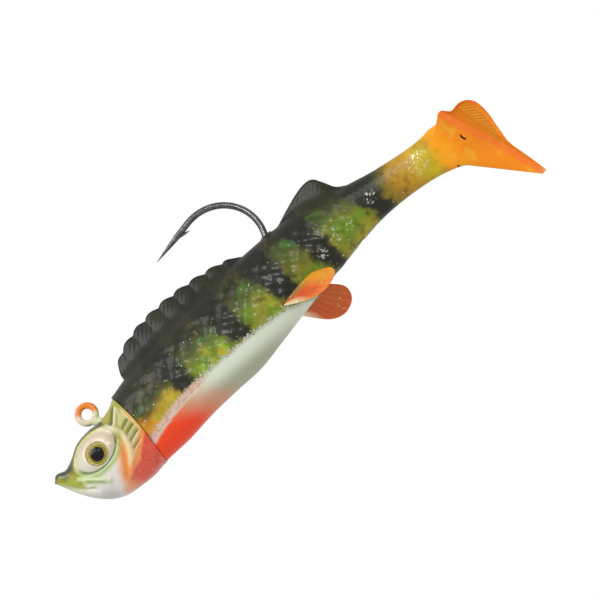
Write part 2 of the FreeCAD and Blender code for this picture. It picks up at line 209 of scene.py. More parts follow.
def segment_distance(x, z, start, end):
    """Distance from points of the side view to a line, and how far along it they are, from 0 to 1."""
    dx, dz = end[0] - start[0], end[1] - start[1]
    along = np.clip(((x - start[0]) * dx + (z - start[1]) * dz) / (dx * dx + dz * dz), 0.0, 1.0)
    return np.hypot(x - start[0] - dx * along, z - start[1] - dz * along), along


def path_distance(x, z, points):
    """Distance from points of the side view to a path, positive on its right-hand side going along it."""
    best = np.full(np.shape(x), 1e9)
    sign = np.ones(np.shape(x))
    for start, end in zip(points, points[1:]):
        distance, _ = segment_distance(x, z, start, end)
        across = (end[0] - start[0]) * (z - start[1]) - (end[1] - start[1]) * (x - start[0])
        nearer = distance < best
        sign = np.where(nearer, np.where(across < 0, 1.0, -1.0), sign)
        best = np.minimum(best, distance)
    return best, sign


# Meshes from grids of points.

def grid_normals(points):
    """Unit normals of a grid of rings by points, which point out if the points run belly, right, back."""
    along = np.gradient(points, axis=0)
    across = np.roll(points, -1, axis=1) - np.roll(points, 1, axis=1)
    normals = np.cross(across, along)
    return normals / np.maximum(np.linalg.norm(normals, axis=-1, keepdims=True), 1e-9)


def grid_faces(rings, count):
    """The four corners of every face of a grid of rings."""
    row = np.arange(rings - 1)[:, None] * count
    column = np.arange(count)[None, :]
    after = (column + 1) % count
    return np.stack([row + column, row + after, row + count + after, row + count + column], -1).reshape(-1, 4)


def new_mesh(name, points, faces, fields=None):
    """An object from points in millimetres and faces. Fields are values at the points, by name."""
    mesh = bpy.data.meshes.new(name)
    points = np.asarray(points, float).reshape(-1, 3) * MM
    mesh.from_pydata(points.tolist(), [], [list(map(int, face)) for face in faces])
    for field, values in (fields or {}).items():
        values = np.asarray(values, np.float32)
        if values.shape[-1] == 3 and values.size == points.size:
            mesh.attributes.new(field, "FLOAT_VECTOR", "POINT").data.foreach_set("vector", values.ravel())
        else:
            mesh.attributes.new(field, "FLOAT", "POINT").data.foreach_set("value", values.ravel())
    mesh.shade_smooth()
    piece = bpy.data.objects.new(name, mesh)
    bpy.context.scene.collection.objects.link(piece)
    return piece


def face_outward(piece):
    """Makes a closed mesh's faces all point out."""
    work = bmesh.new()
    work.from_mesh(piece.data)
    bmesh.ops.remove_doubles(work, verts=work.verts, dist=1e-7)
    bmesh.ops.recalc_face_normals(work, faces=work.faces)
    work.to_mesh(piece.data)
    work.free()
    piece.data.shade_smooth()


# The soft body: one grid of rings from the gill edge to the paddle, cut into three skins.

def fin_edge(station):
    """Height of the dorsal fins' edge, and of the plain back where there is no fin."""
    back = profile(BODY_PROFILE, station)[0]
    along = np.clip((station - SPINY_FIN_START) / (SPINY_FIN_END - SPINY_FIN_START), 0.0, 1.0)
    rise = SPINY_FIN_HEIGHT * np.sin(np.pi * along ** SPINY_FIN_LEAD) ** SPINY_FIN_FULLNESS
    lobe = np.mod(along * SPINY_FIN_LOBES, 1.0)
    scallop = LOBE_RISE * np.sin(np.pi * lobe ** 0.8) * smooth(0.0, 0.06, along) * smooth(1.0, 0.9, along)
    spiny = np.where((along > 0) & (along < 1), rise + scallop - SPINY_FIN_SINK, NO_FIN)
    on_soft_fin = (station > SOFT_FIN[0][0]) & (station < SOFT_FIN[-1][0])
    soft = np.where(on_soft_fin, curve_through(SOFT_FIN, station), NO_FIN)
    return np.maximum(np.maximum(spiny, soft), back)


def body_sections(station):
    """Side and height of the right half of each section, from the belly to the top of the fin.
    Also how far each point is up the fin, from 0 to 1, and its distance from the fin's root."""
    back, belly, half = profile(BODY_PROFILE, station)
    back, belly, half, edge = (value[:, None] for value in (back, belly, half, fin_edge(station)))
    middle, radius = 0.5 * (back + belly), 0.5 * (back - belly)
    root = np.minimum(FIN_ROOT_HALF_WIDTH, 0.55 * half)
    root_angle = np.arccos((root / half) ** (0.5 * SHOULDER_POWER))
    share = np.linspace(0.0, 1.0, FLANK_POINTS)[None, :]
    angle = -0.5 * np.pi + (root_angle + 0.5 * np.pi) * share
    power = np.where(angle > 0, SHOULDER_POWER, SECTION_POWER)
    flank_side = half * np.abs(np.cos(angle)) ** (2 / power)
    flank_height = middle + radius * np.sign(np.sin(angle)) * np.abs(np.sin(angle)) ** (2 / SECTION_POWER)
    up = np.linspace(0.0, 1.0, FIN_POINTS + 1)[None, 1:]
    cap_side = root * (1 - up)
    cap_height = middle + radius * (1 - (cap_side / half) ** SHOULDER_POWER) ** (1 / SECTION_POWER)
    root_height = flank_height[:, -1:]
    finned = np.clip((edge - back) / LOW_FIN, 0.0, 1.0)
    tip = back + np.maximum(edge - back, LOW_FIN)
    fin_side = FIN_TIP_HALF_WIDTH + (root - FIN_TIP_HALF_WIDTH) * (1 - up) ** 2
    rounding = np.clip((up - 1 + FIN_TIP_ROUND) / FIN_TIP_ROUND, 0.0, 1.0)
    fin_side = fin_side * np.sqrt(1 - rounding ** 2)
    fin_height = root_height + (tip - root_height) * up
    side = np.concatenate([flank_side, cap_side + (fin_side - cap_side) * finned], 1)
    height = np.concatenate([flank_height, cap_height + (fin_height - cap_height) * finned], 1)
    up_fin = np.concatenate([0 * flank_side, finned * up], 1)
    # Ease the skin into the fin.
    index = np.arange(side.shape[1])[1:-1]
    ease = 0.5 * bump(index - FLANK_POINTS, ROOT_EASE)
    for _ in range(ROOT_EASE_ROUNDS):
        for value in (side, height):
            value[:, 1:-1] += ease * (0.5 * (value[:, :-2] + value[:, 2:]) - value[:, 1:-1])
    steps = np.hypot(np.diff(side, axis=1), np.diff(height, axis=1))
    from_belly = np.concatenate([np.zeros((len(side), 1)), np.cumsum(steps, axis=1)], 1)
    return side, height, up_fin, from_belly[:, FLANK_POINTS - 1:FLANK_POINTS] - from_belly


def both_sides(half, mirror=1.0):
    """A full ring from its right half: belly, right, top, left. The mirror is -1 for sideways values."""
    return np.concatenate([half, mirror * half[:, -2:0:-1]], axis=1)


def scale_relief(station, around):
    """Height of the scales, from 0 to 1. The front scale lies over the one behind it."""
    row = np.floor(around / SCALE_WIDTH)
    best = np.full(np.shape(station), -SCALE_REACH)
    for dj in (-1, 0, 1):
        here = row + dj
        shift = 0.5 * np.mod(here, 2)
        v = around / SCALE_WIDTH - here - 0.5
        first = np.floor(station / SCALE_LENGTH - shift)
        for di in (-1, 0, 1):
            u = station / SCALE_LENGTH - shift - first - di
            inside = SCALE_REACH ** 2 - u ** 2 - v ** 2 > 0
            best = np.where(inside & (u > best), u, best)
    return (best + SCALE_REACH) / (2 * SCALE_REACH)


def ray_relief(station, height):
    """Ridges of the dorsal fins' rays, which lean back, from 0 to 1."""
    phase = (station - RAY_LEAN * height) / RAY_SPACING
    strength = 0.55 + 0.45 * np.sin(station * 1.7) * np.sin(station * 0.43 + 1.0)
    return 0.5 + 0.5 * np.cos(2 * np.pi * phase + 0.8 * np.sin(station)) * strength


def hook_hole_lip(points):
    """A low rim of plastic around the place where the hook comes out of the back."""
    distance = np.hypot(points[..., 0] - HOOK_EXIT, points[..., 1])
    near_top = smooth(-3.0, -1.5, points[..., 2])
    return LIP_HEIGHT * bump(distance - LIP_RADIUS, LIP_WIDTH) * near_top


def body_relief(station, side, height, up_fin, from_root, points):
    """How far the skin stands out from its plain sections, in millimetres."""
    belly_line = curve_through(BELLY_LINE, station)
    on_flank = smooth(-0.6, 0.8, height - belly_line) * (1 - smooth(0.0, 0.12, up_fin))
    on_flank = on_flank * smooth(87.0, 78.0, station) * smooth(0.2, 1.2, np.abs(side))
    patches = 0.6 + 0.4 * np.sin(0.9 * station + 1.7 * np.sin(0.5 * from_root)) * np.sin(1.1 * from_root)
    relief = SCALE_HEIGHT * (scale_relief(station, from_root) - 0.5) * on_flank * patches
    relief = relief + RAY_HEIGHT * (ray_relief(station, height) - 0.5) * smooth(0.12, 0.4, up_fin) * (
        1 - smooth(0.93, 1.0, up_fin))
    throat_edge = bump(height - belly_line + 0.4, 0.5) * smooth(30.0, 20.0, station)
    wave = THROAT_WAVE * np.sin(station * 0.9) * throat_edge
    waves = [np.sin(along * station + around * from_root + shift) for along, around, shift in LUMPS]
    lumps = sum(waves) / len(LUMPS)
    above = smooth(0.5, 3.0, height - belly_line) * smooth(72.0, 62.0, station) * smooth(1.0, 4.0, from_root)
    return relief + wave + LUMP_HEIGHT * lumps * above + hook_hole_lip(points)


# The line between flank and belly, as station and height, and the fish's dark bars.
BELLY_LINE = [(5.0, -14.3), (9.0, -13.6), (14.3, -13.0), (21.6, -13.0), (31.0, -13.8), (37.6, -14.6),
              (43.0, -15.4), (49.0, -17.2), (56.0, -19.5)]
BARS = [(18.9, 1.9), (33.2, 2.1), (46.0, 2.2), (56.8, 2.0), (71.6, 2.3)]  # station, half width


def body_fields(station, side, height):
    """What the paint follows: the distance above the belly line, inside the bars, and so on."""
    lean = 0.12 * (height + 13.0)
    bars = np.full(np.shape(station), -9.0)
    for middle, half in BARS:
        bars = np.maximum(bars, half * (1 + 0.05 * (height + 13.0)) - np.abs(station - middle + lean))
    return {
        "fish": np.stack([station, side, height], -1),
        "above_belly": height - curve_through(BELLY_LINE, station),
        "in_bar": bars,
        "below_back": profile(BODY_PROFILE, station)[0] - height,
    }


def body_stations():
    """The stations of the rings, close together throughout."""
    count = int(round((FAIRING_START - RING_START) / RING_STEP))
    return np.linspace(RING_START, FAIRING_START, count + 1)


def body_grid():
    """Points and fields of the soft body from the gill edge to the start of the paddle's fairing."""
    base = body_stations()
    side, height, up_fin, from_root = body_sections(base)
    side = both_sides(side, -1.0)
    height, up_fin, from_root = (both_sides(value) for value in (height, up_fin, from_root))
    station = base[:, None] + 0 * side
    pull = (gill_station(height) + GILL_CLEARANCE - base[0]) * (1 - smooth(base[0], base[0] + 5.0, station))
    station = station + pull
    points = on_spine(station, side, height)
    normals = grid_normals(points)
    relief = body_relief(station, side, height, up_fin, from_root, points)
    return station, side, height, points + normals * relief[..., None]


def paddle_outline(angles):
    """Side and height of the paddle's rim by angle round the section, in radians, from the foot at 0."""
    turns = [math.radians(turn) for turn, _, _ in PADDLE_RIM]
    values = []
    for index in (1, 2):
        rim = [point[index] for point in PADDLE_RIM]
        path = list(zip(turns, rim))
        before = [(turn - 2 * math.pi, value) for turn, value in path[-3:]]
        after = [(turn + 2 * math.pi, value) for turn, value in path[:4]]
        values.append(curve_through(before + path + after, angles))
    return values


def paddle_plane(height):
    """The station of the paddle's rear face at a height."""
    share = (height - PADDLE_FOOT[1]) / (PADDLE_TOP[1] - PADDLE_FOOT[1])
    return PADDLE_FOOT[0] + (PADDLE_TOP[0] - PADDLE_FOOT[0]) * share


def paddle_grid(start):
    """Rings from the last body ring, given as station, side, height, over the rim to the rear face's middle.
    With them come masks of the rim and of the rear face, and a mask of the ribs' crests on the right half of
    the face, which the paint uses for painted highlights and painted shade."""
    _, side0, height0 = start
    middle = 0.5 * (height0.max() + height0.min())
    half = np.abs(side0).max()
    tall = 0.5 * (height0.max() - height0.min())
    angles = np.mod(np.arctan2((height0 - middle) / tall, side0 / half) + 0.5 * np.pi, 2 * np.pi)
    angles[0] = 0.0
    rim_side, rim_height = paddle_outline(angles)
    rim_station = paddle_plane(rim_height)
    rows = []
    for t in np.linspace(0.0, 1.0, FAIRING_RINGS + 1)[1:]:
        shares = (t, t ** 1.2, t ** (1 - 0.3 * smooth(-26.0, -16.0, rim_height)))
        ends = (rim_station - 1.15, 0.98 * rim_side, rim_height + 0.012 * (middle - 12.0 - rim_height))
        rows.append([a + (b - a) * share for a, b, share in zip(start, ends, shares)]
                    + [smooth(0.93, 1.0, t) + 0 * side0, 0 * side0, 0 * side0])
    # Over the rounded rim, then in over the ridge, the groove and the ribbed face.
    mid_height = np.clip(rim_height, *PADDLE_MID_HEIGHTS)
    wide = smooth(0.6, 3.0, np.abs(rim_side))  # 0 along the thin foot
    face = [(share, PADDLE_RIM_STEPS[-1][1]) for share in np.linspace(0.23, 1.0, 26)]
    for share, shift in PADDLE_RIM_STEPS + face:
        side = rim_side * (1 - share)
        height = rim_height + (mid_height - rim_height) * share
        ribs = 0.5 + 0.5 * np.cos(2 * np.pi * (height + 0.1 * np.abs(side)) / PADDLE_RIB_SPACING)
        crown = PADDLE_CROWN * smooth(0.2, 0.9, share) * wide
        ribbed = PADDLE_RIB_HEIGHT * (ribs - 0.5) * smooth(0.22, 0.4, share) * wide
        lift = shift * (0.35 + 0.65 * wide) + crown + ribbed
        rim = 1 - smooth(0.1, 0.2, share) + 0 * side
        rear = smooth(0.16, 0.24, share) + 0 * side
        # The last value marks the ribs' crests on the right half only, for painted highlights and painted
        # shade.
        rows.append([paddle_plane(height) + lift, side, height, rim, rear, ribs * smooth(0.3, 1.6, side)])
    return [np.stack(value) for value in zip(*rows)]


def front_cap(station, side, height):
    """Rings that close the body's front: in to the collar's hole, back along it, and shut."""
    first = (station[0], side[0], height[0])
    angles = np.arctan2(height[0] - SHANK_HEIGHT, side[0])
    hole = (gill_station(SHANK_HEIGHT) + GILL_CLEARANCE + 0 * side[0],
            COLLAR_HOLE * np.cos(angles), SHANK_HEIGHT + COLLAR_HOLE * np.sin(angles))
    rows = [[COLLAR_END + 0 * angles, 0 * angles, SHANK_HEIGHT + 0 * angles],
            [COLLAR_END + 0 * angles, hole[1], hole[2]]]
    for share in (1.0, 0.6, 0.3, 0.1):
        rows.append([a + (b - a) * share for a, b in zip(first, hole)])
    return [np.stack(value) for value in zip(*rows)]


def fish_grid():
    """The whole soft fish as rings of points, what its paint follows, and how many rings close its front."""
    station, side, height, points = body_grid()
    cap = front_cap(station, side, height)
    paddle = paddle_grid((station[-1], side[-1], height[-1]))
    points = np.concatenate([on_spine(*cap), points, on_spine(*paddle[:3])])
    plain = np.zeros((len(cap[0]) + len(station), station.shape[1]))
    extra = [np.concatenate([plain, values]) for values in paddle[3:]]
    station, side, height = (np.concatenate(parts) for parts in zip(cap, (station, side, height), paddle))
    fields = body_fields(station, side, height)
    fields.update(zip(("rim", "rear_face", "rib_light_shade"), extra))
    return points, fields, len(cap[0])


def soft_skins(material):
    """The three skins of the soft fish."""
    points, fields, caps = fish_grid()
    normals = grid_normals(points)
    count = points.shape[1]
    base = body_stations()
    ends = [0] + [caps + int(np.searchsorted(base, end)) for end in SKIN_ENDS] + [len(points) - 1]
    names = ("front_skin", "middle_skin", "tail_skin")
    skins = []
    for name, first, last in zip(names, ends, ends[1:]):
        rows = slice(first, last + 1)
        skin = new_mesh(name, points[rows], grid_faces(last + 1 - first, count),
                        {field: values[rows] for field, values in fields.items()})
        skin.data.normals_split_custom_set_from_vertices(normals[rows].reshape(-1, 3).tolist())
        skin.data.materials.append(material)
        skins.append(skin)
    return skins


# Materials: layers of paint laid over each other, each following a field of the mesh.

COAT_ROUGHNESS = 0.15
FLAKE_RADIUS = 0.42  # of a flake's cell
SCATTER = (1.0, 0.45, 0.15)  # how far red, green and blue light spreads in the plastic


class Nodes:
    """Short ways to add nodes to a tree and to join them."""

    def __init__(self, tree):
        self.tree = tree

    def node(self, kind, settings=None, **inputs):
        """A new node. In the names of its inputs, an underscore stands for a space."""
        node = self.tree.nodes.new(kind)
        for key, value in (settings or {}).items():
            setattr(node, key, value)
        for key, value in inputs.items():
            self.feed(node.inputs[key.replace("_", " ")], value)
        return node

    def feed(self, socket, value):
        """Joins a socket to another node's output, or gives it a plain value."""
        if isinstance(value, bpy.types.NodeSocket):
            self.tree.links.new(value, socket)
        else:
            socket.default_value = value


class Paint(Nodes):
    """A node material built up in layers from the mesh's own fields."""

    def __init__(self, name, base, roughness=0.3, coat=0.6, shine=0.5):
        self.material = bpy.data.materials.new(name)
        self.material.use_nodes = True
        super().__init__(self.material.node_tree)
        self.shader = self.tree.nodes["Principled BSDF"]
        self.shade("Roughness", roughness)
        self.shade("Coat Weight", coat)
        self.shade("Coat Roughness", COAT_ROUGHNESS)
        self.shade("Specular IOR Level", shine)
        self.place = self.attribute("fish", "Vector")
        self.axes = self.node("ShaderNodeSeparateXYZ", Vector=self.place)
        self.colour = self.rgb(base)

    def rgb(self, colour):
        node = self.node("ShaderNodeRGB")
        node.outputs[0].default_value = (*linear(colour), 1.0)
        return node.outputs[0]

    def attribute(self, name, output="Fac"):
        return self.node("ShaderNodeAttribute", {"attribute_name": name}).outputs[output]

    def station(self):
        return self.axes.outputs["X"]

    def height(self):
        return self.axes.outputs["Z"]

    def math(self, kind, a, b=0.0):
        node = self.node("ShaderNodeMath", {"operation": kind})
        self.feed(node.inputs[0], a)
        self.feed(node.inputs[1], b)
        return node.outputs[0]

    def times(self, a, b):
        return self.math("MULTIPLY", a, b)

    def plus(self, a, b):
        return self.math("ADD", a, b)

    def minus(self, a, b):
        return self.math("SUBTRACT", a, b)

    def noise(self, size, detail=2.0):
        """Smooth noise from 0 to 1 with blobs of about the size in millimetres."""
        node = self.node("ShaderNodeTexNoise", Vector=self.place, Scale=1.0 / size, Detail=detail)
        return node.outputs["Fac"]

    def step(self, value, low, high):
        """0 where the value is below low, 1 above high, smooth between. Low may be the higher one."""
        at_low, at_high = (1.0, 0.0) if low > high else (0.0, 1.0)
        node = self.node("ShaderNodeMapRange", {"interpolation_type": "SMOOTHSTEP"}, Value=value,
                         From_Min=min(low, high), From_Max=max(low, high), To_Min=at_low, To_Max=at_high)
        return node.outputs["Result"]

    def rough_edge(self, value, amount, size):
        """The value with noise added, so that a step of it has an uneven edge."""
        return self.plus(value, self.times(self.minus(self.noise(size), 0.5), amount))

    def both(self, *masks):
        """1 where all the masks are 1. A (value, low, high) mask stands for that step."""
        masks = [self.step(*mask) if isinstance(mask, tuple) else mask for mask in masks]
        result = masks[0]
        for mask in masks[1:]:
            result = self.times(result, mask)
        return result

    def mix(self, a, b, mask):
        node = self.node("ShaderNodeMix", {"data_type": "RGBA"})
        self.feed(node.inputs[0], mask)
        self.feed(node.inputs[6], a)
        self.feed(node.inputs[7], b)
        return node.outputs[2]

    def layer(self, colour, strength, *masks):
        """Paints a colour where all the masks are 1."""
        self.colour = self.mix(self.colour, self.rgb(colour), self.times(self.both(*masks), strength))

    def flakes(self, size, share, seed=0.0):
        """A mask of separate flakes, and a random value for each."""
        place = self.node("ShaderNodeVectorMath", {"operation": "ADD"})
        self.feed(place.inputs[0], self.place)
        place.inputs[1].default_value = (seed, seed, seed)
        cells = self.node("ShaderNodeTexVoronoi", Vector=place.outputs[0], Scale=1.0 / size)
        pick = self.node("ShaderNodeSeparateColor", Color=cells.outputs["Color"])
        chosen = self.math("LESS_THAN", pick.outputs["Red"], share)
        inside = self.math("LESS_THAN", cells.outputs["Distance"], FLAKE_RADIUS)
        return self.both(chosen, inside), pick.outputs["Green"]

    def shade(self, name, value):
        """Feeds an input of the shader."""
        self.feed(self.shader.inputs[name], value)

    def grain(self, size, height, detail=3.0):
        """Fine unevenness of the surface."""
        unevenness = self.noise(size, detail)
        relief = self.node("ShaderNodeBump", Strength=1.0, Distance=height * MM, Height=unevenness)
        self.shade("Normal", relief.outputs["Normal"])

    def done(self):
        """Gives the shader the colour, and returns the material."""
        self.shade("Base Color", self.colour)
        return self.material


def linear(colour):
    """A colour as the eye reads it, written as six hex digits, in linear light."""
    parts = [int(colour[i:i + 2], 16) / 255 for i in (0, 2, 4)]
    return [part / 12.92 if part <= 0.04045 else ((part + 0.055) / 1.055) ** 2.4 for part in parts]


def body_plastic():
    """The soft body: dark barred back over a gold-green flank, pearl belly, red throat, orange tail."""
    paint = Paint("soft_plastic", "8f8c20", roughness=0.4, coat=0.22, shine=0.2)
    flank_paint(paint)
    tail_paint(paint)
    back_paint(paint)
    belly_paint(paint)
    nick_shade_paint(paint)
    glitter(paint)
    # The tail is duller and more translucent than the rest.
    tail = paint.step(paint.station(), 82.0, 92.0)
    paint.shade("Coat Weight", paint.minus(0.22, paint.times(tail, 0.22)))
    paint.shade("Specular IOR Level", paint.minus(0.22, paint.times(tail, 0.17)))
    paint.shade("Subsurface Weight", paint.times(tail, 0.5))
    paint.shade("IOR", paint.minus(1.5, paint.times(paint.attribute("rear_face"), 0.42)))
    paint.shade("Subsurface Radius", SCATTER)
    paint.shade("Subsurface Scale", 0.6 * MM)
    paint.grain(0.6, 0.05)
    return paint.done()


def flank_paint(paint):
    """Gold near the gill, then green, olive and brown patches."""
    station = paint.station()
    above = paint.attribute("above_belly")
    ragged = paint.rough_edge(above, 1.6, 2.2)
    paint.layer("6a8a1a", 1.0, (paint.noise(4.5), 0.42, 0.6))
    paint.layer("b8a624", 1.0, (paint.noise(3.2, 3.0), 0.5, 0.62), (above, 5.5, 2.0))
    paint.layer("94601f", 0.6, (paint.noise(2.6, 3.0), 0.58, 0.7), (above, 9.0, 4.0))
    paint.layer("d0a81c", 0.85, (station, 24.0, 8.0), (ragged, 5.6, 3.6))
    paint.layer("d98a24", 0.8, (station, 13.5, 7.5), (ragged, 5.0, 2.8))
    paint.layer("a0c034", 0.6, (paint.noise(2.0, 3.0), 0.54, 0.66), (above, 5.0, 1.5))
    paint.layer("9aa864", 0.4, (paint.noise(0.9, 3.0), 0.56, 0.7), (above, 4.0, 0.8))
    paint.layer("3c431a", 0.6, (paint.noise(1.7, 4.0), 0.5, 0.68), (above, 0.8, 3.6))
    paint.layer("3a3c14", 0.6, (ragged, 2.6, 8.4), (station, 66.0, 50.0))


def tail_paint(paint):
    """Toward the tail: amber, gold, then the orange of the paddle."""
    station, height = paint.station(), paint.height()
    tail = paint.rough_edge(station, 5.0, 5.0)
    paint.layer("8c6a18", 0.8, (tail, 68.0, 75.0))
    paint.layer("b98a1e", 1.0, (tail, 75.0, 80.0))
    paint.layer("5f4a18", 0.6, (tail, 71.0, 76.0), (tail, 82.0, 78.0), (paint.noise(1.3, 4.0), 0.48, 0.66))
    paint.layer("d2a61e", 1.0, (tail, 78.0, 84.0), (paint.noise(2.4), 0.35, 0.65))
    paint.layer("c2b81c", 0.5, (tail, 79.0, 83.0), (tail, 89.5, 85.5), (paint.noise(3.5, 1.0), 0.4, 0.6))
    paint.layer("ffa424", 1.0, (tail, 85.5, 90.5))
    paint.layer("ff8e26", 0.75, (tail, 90.0, 95.0))
    paint.layer("ffb43a", 0.6, (tail, 88.0, 92.0), (paint.noise(2.8, 1.0), 0.52, 0.68))
    rim, rear, rib_light_shade = (paint.attribute(name) for name in ("rim", "rear_face", "rib_light_shade"))
    paint.layer("fb7c3a", 0.75, (rim, 0.5, 1.0))
    # On the right half of the rear face: painted shade in the ribs' valleys and a painted highlight on their
    # crests. The left half takes the valleys' colour all over.
    paint.layer("ff8420", 0.7, rear, (rib_light_shade, 0.75, 0.2))
    paint.layer("ffb848", 0.6, rear, (rib_light_shade, 0.35, 0.9))
    # The pale end of the foot.
    paint.layer("e8c69a", 0.4, (station, 99.0, 101.0), (height, -35.2, -36.6))


def back_paint(paint):
    """The dark back and its green flecks, and the bars that run down from it, with a painted highlight on the
    bars.
    """
    station = paint.station()
    above, in_bar, back = (paint.attribute(name) for name in ("above_belly", "in_bar", "below_back"))
    drop = paint.node("ShaderNodeMapRange", Value=station, From_Min=10.0, From_Max=76.0,
                      To_Min=8.4, To_Max=2.6)
    crown = paint.minus(paint.rough_edge(back, 6.0, 3.2), drop.outputs["Result"])
    front = paint.step(paint.rough_edge(station, 5.0, 4.0), 79.0, 73.0)
    paint.layer("4c561a", 0.85, (crown, 4.2, 0.6), front, (station, 6.0, 9.0))
    paint.layer("23240c", 1.0, (crown, 2.0, -1.8), front)
    paint.layer("544c1a", 0.6, (paint.noise(2.2, 4.0), 0.5, 0.64), (crown, 2.0, 0.2), (crown, -5.0, -2.0),
                (station, 66.0, 56.0))
    paint.layer("3c6c1a", 0.8, (paint.noise(4.0, 1.0), 0.56, 0.66), (crown, 2.6, 0.8), (crown, -2.6, -0.6),
                (station, 70.0, 60.0))
    bar = paint.rough_edge(in_bar, 4.0, 1.6)
    bar_end = paint.step(paint.rough_edge(above, 2.0, 1.0), -0.6, 0.7)
    paint.layer("2b3018", 0.65, (bar, -1.6, 0.3), bar_end)
    paint.layer("181812", 0.95, (bar, -0.5, 0.8), bar_end)
    # Painted highlight: grey glints on the dark bars.
    paint.layer("8c929a", 0.22, (bar, 0.2, 0.8), (above, 5.0, 1.0), (paint.noise(0.5, 3.0), 0.62, 0.7))


def belly_paint(paint):
    """The pearl belly with its speckled edge, the red throat and the silver line over it. A painted highlight
    lightens the belly's upper part, and painted shade darkens it toward the underside.
    """
    station = paint.station()
    above = paint.attribute("above_belly")
    speckle = paint.rough_edge(above, 3.8, 0.45)
    short = paint.step(paint.rough_edge(station, 4.0, 3.0), 56.0, 49.0)
    belly = paint.both((speckle, 0.5, -0.5), short)
    paint.layer("b9c0ae", 1.0, belly)
    paint.layer("d3dac4", 1.0, belly, (paint.rough_edge(above, 1.0, 0.6), -0.2, -0.9))
    # Painted highlight on the belly's upper part, and painted shade toward the underside.
    paint.layer("dfe6d2", 0.8, belly, (above, -3.4, -1.6), (above, -0.4, -1.2))
    paint.layer("a4a88c", 0.8, belly, (above, -2.3, -4.8))
    throat = paint.plus(station, paint.times(above, 1.3))
    below = paint.rough_edge(above, 0.5, 1.5)
    paint.layer("d89a78", 1.0, (paint.rough_edge(throat, 3.0, 4.0), 21.0, 12.5), (below, -0.9, -1.9))
    paint.layer("fb4616", 1.0, (paint.rough_edge(throat, 2.0, 4.0), 14.5, 7.5), (below, -1.1, -2.0))
    line = paint.both((below, -1.5, -0.9), (below, 0.3, -0.3), (station, 24.0, 19.0))
    paint.layer("e0b6a4", 0.85, line)
    paint.layer("9a5a44", 0.4, line, (paint.noise(0.6, 4.0), 0.5, 0.64))


NICKS = [(95.4, -20.2, 0.75), (88.9, -22.3, 0.35)]  # station, height, half length


def nick_shade_paint(paint):
    """Small nicks on the left of the paddle's root, drawn only as painted shade: dark marks with no cut in
    the surface.
    """
    left = paint.step(paint.axes.outputs["Y"], 0.2, -0.2)
    for station, height, length in NICKS:
        across = paint.minus(station, paint.station())
        up = paint.minus(paint.height(), height)
        bend = paint.plus(across, paint.times(paint.times(up, up), 0.5))
        mark = paint.both(left, (paint.math("ABSOLUTE", bend), 0.36, 0.2),
                          (paint.math("ABSOLUTE", up), length, 0.8 * length))
        # Painted shade: a dark mark where a nick's shade would fall.
        paint.layer("381206", 0.95, mark)


def glitter(paint):
    """Flakes of glitter in the plastic, gathered in a few places."""
    above = paint.attribute("above_belly")
    gold, tint = paint.flakes(0.4, 0.016)
    silver, _ = paint.flakes(0.36, 0.0045, 7.3)
    in_flank = paint.both((above, 0.0, 0.6), (paint.station(), 89.0, 84.0),
                          (paint.attribute("below_back"), 3.0, 6.0))
    gold = paint.both(gold, in_flank)
    silver = paint.both(silver, in_flank)
    gold_colour = paint.mix(paint.rgb("c8a848"), paint.rgb("8ca850"), tint)
    paint.colour = paint.mix(paint.colour, gold_colour, paint.times(gold, 0.6))
    paint.layer("d8d8cc", 0.8, silver)
    cluster = paint.both(silver_cluster(paint), (paint.noise(0.5, 3.0), 0.54, 0.62))
    paint.layer("dcdccb", 0.65, cluster)
    metal = paint.math("MAXIMUM", paint.math("MAXIMUM", gold, silver), cluster)
    paint.shade("Metallic", paint.times(metal, 0.5))


GLITTER_SPOTS = [(24.6, -11.8, 1.3), (56.5, -13.0, 1.6), (60.5, -13.0, 1.5), (64.3, -13.2, 1.2),
                 (71.8, -12.4, 1.9), (84.0, -15.4, 3.4)]  # station, height, radius


def silver_cluster(paint):
    """A mask of the places where glitter has gathered."""
    total = None
    for station, height, radius in GLITTER_SPOTS:
        across = paint.minus(paint.station(), station)
        up = paint.minus(paint.height(), height)
        square = paint.plus(paint.times(across, across), paint.times(up, up))
        spot = paint.step(square, radius ** 2, 0.1 * radius ** 2)
        total = spot if total is None else paint.math("MAXIMUM", total, spot)
    return total


# The head: one grid of rings from the snout to the gill edge, then the keeper collar.

HEAD_STEP = 0.15
HEAD_POINTS = 100
SNOUT_ROUND = 1.1
SNOUT_TIP = [(0.0, -0.14), (0.5, -0.11), (0.8, -0.05)]
EYE = (-3.93, -8.64)
EYE_FACE = 5.0
EYE_RADIUS = 2.25
EYE_TURN = 7.0
EYE_SEAT = -0.5
ORBIT = (-3.85, -7.95, 4.95, 3.55)  # centre, then half length and half height
MOUTH = [(-13.9, -7.0), (-11.7, -10.3), (-8.9, -13.5)]
MAXILLA = [(-10.5, -9.2), (-8.3, -11.7), (-5.8, -14.2)]
MAXILLA_CREASE = [(-9.2, -11.1), (-6.9, -13.6)]
CHEEK_RIDGE = [(1.5, -5.9), (2.2, -8.3), (2.4, -10.1), (1.7, -12.4), (0.2, -14.5), (-1.7, -16.4)]
CHEEK_GROOVE = [(0.9, -8.4), (1.1, -10.2), (0.6, -11.9), (-0.8, -13.8), (-2.6, -16.0)]
GILL_GROOVES = [[(3.4, -8.9), (5.0, -8.4)], [(3.1, -10.4), (5.3, -9.9)], [(2.8, -11.9), (5.2, -11.4)],
                [(2.3, -13.4), (4.4, -13.0)]]
GILL_FOLD = [(2.6, -7.1), (5.0, -4.6)]
GILL_FOLD_GROOVE = [(2.3, -6.4), (4.5, -4.0)]
OLIVE_LINE = [(-15.0, -5.2), (-13.6, -6.9), (-11.9, -9.9), (-10.6, -11.4), (-9.7, -10.0), (-8.9, -7.9),
              (-7.4, -6.3), (-5.4, -5.1), (-2.6, -4.6), (0.2, -5.1), (1.8, -6.6), (2.4, -9.0), (5.9, -9.4),
              (9.0, -9.4)]
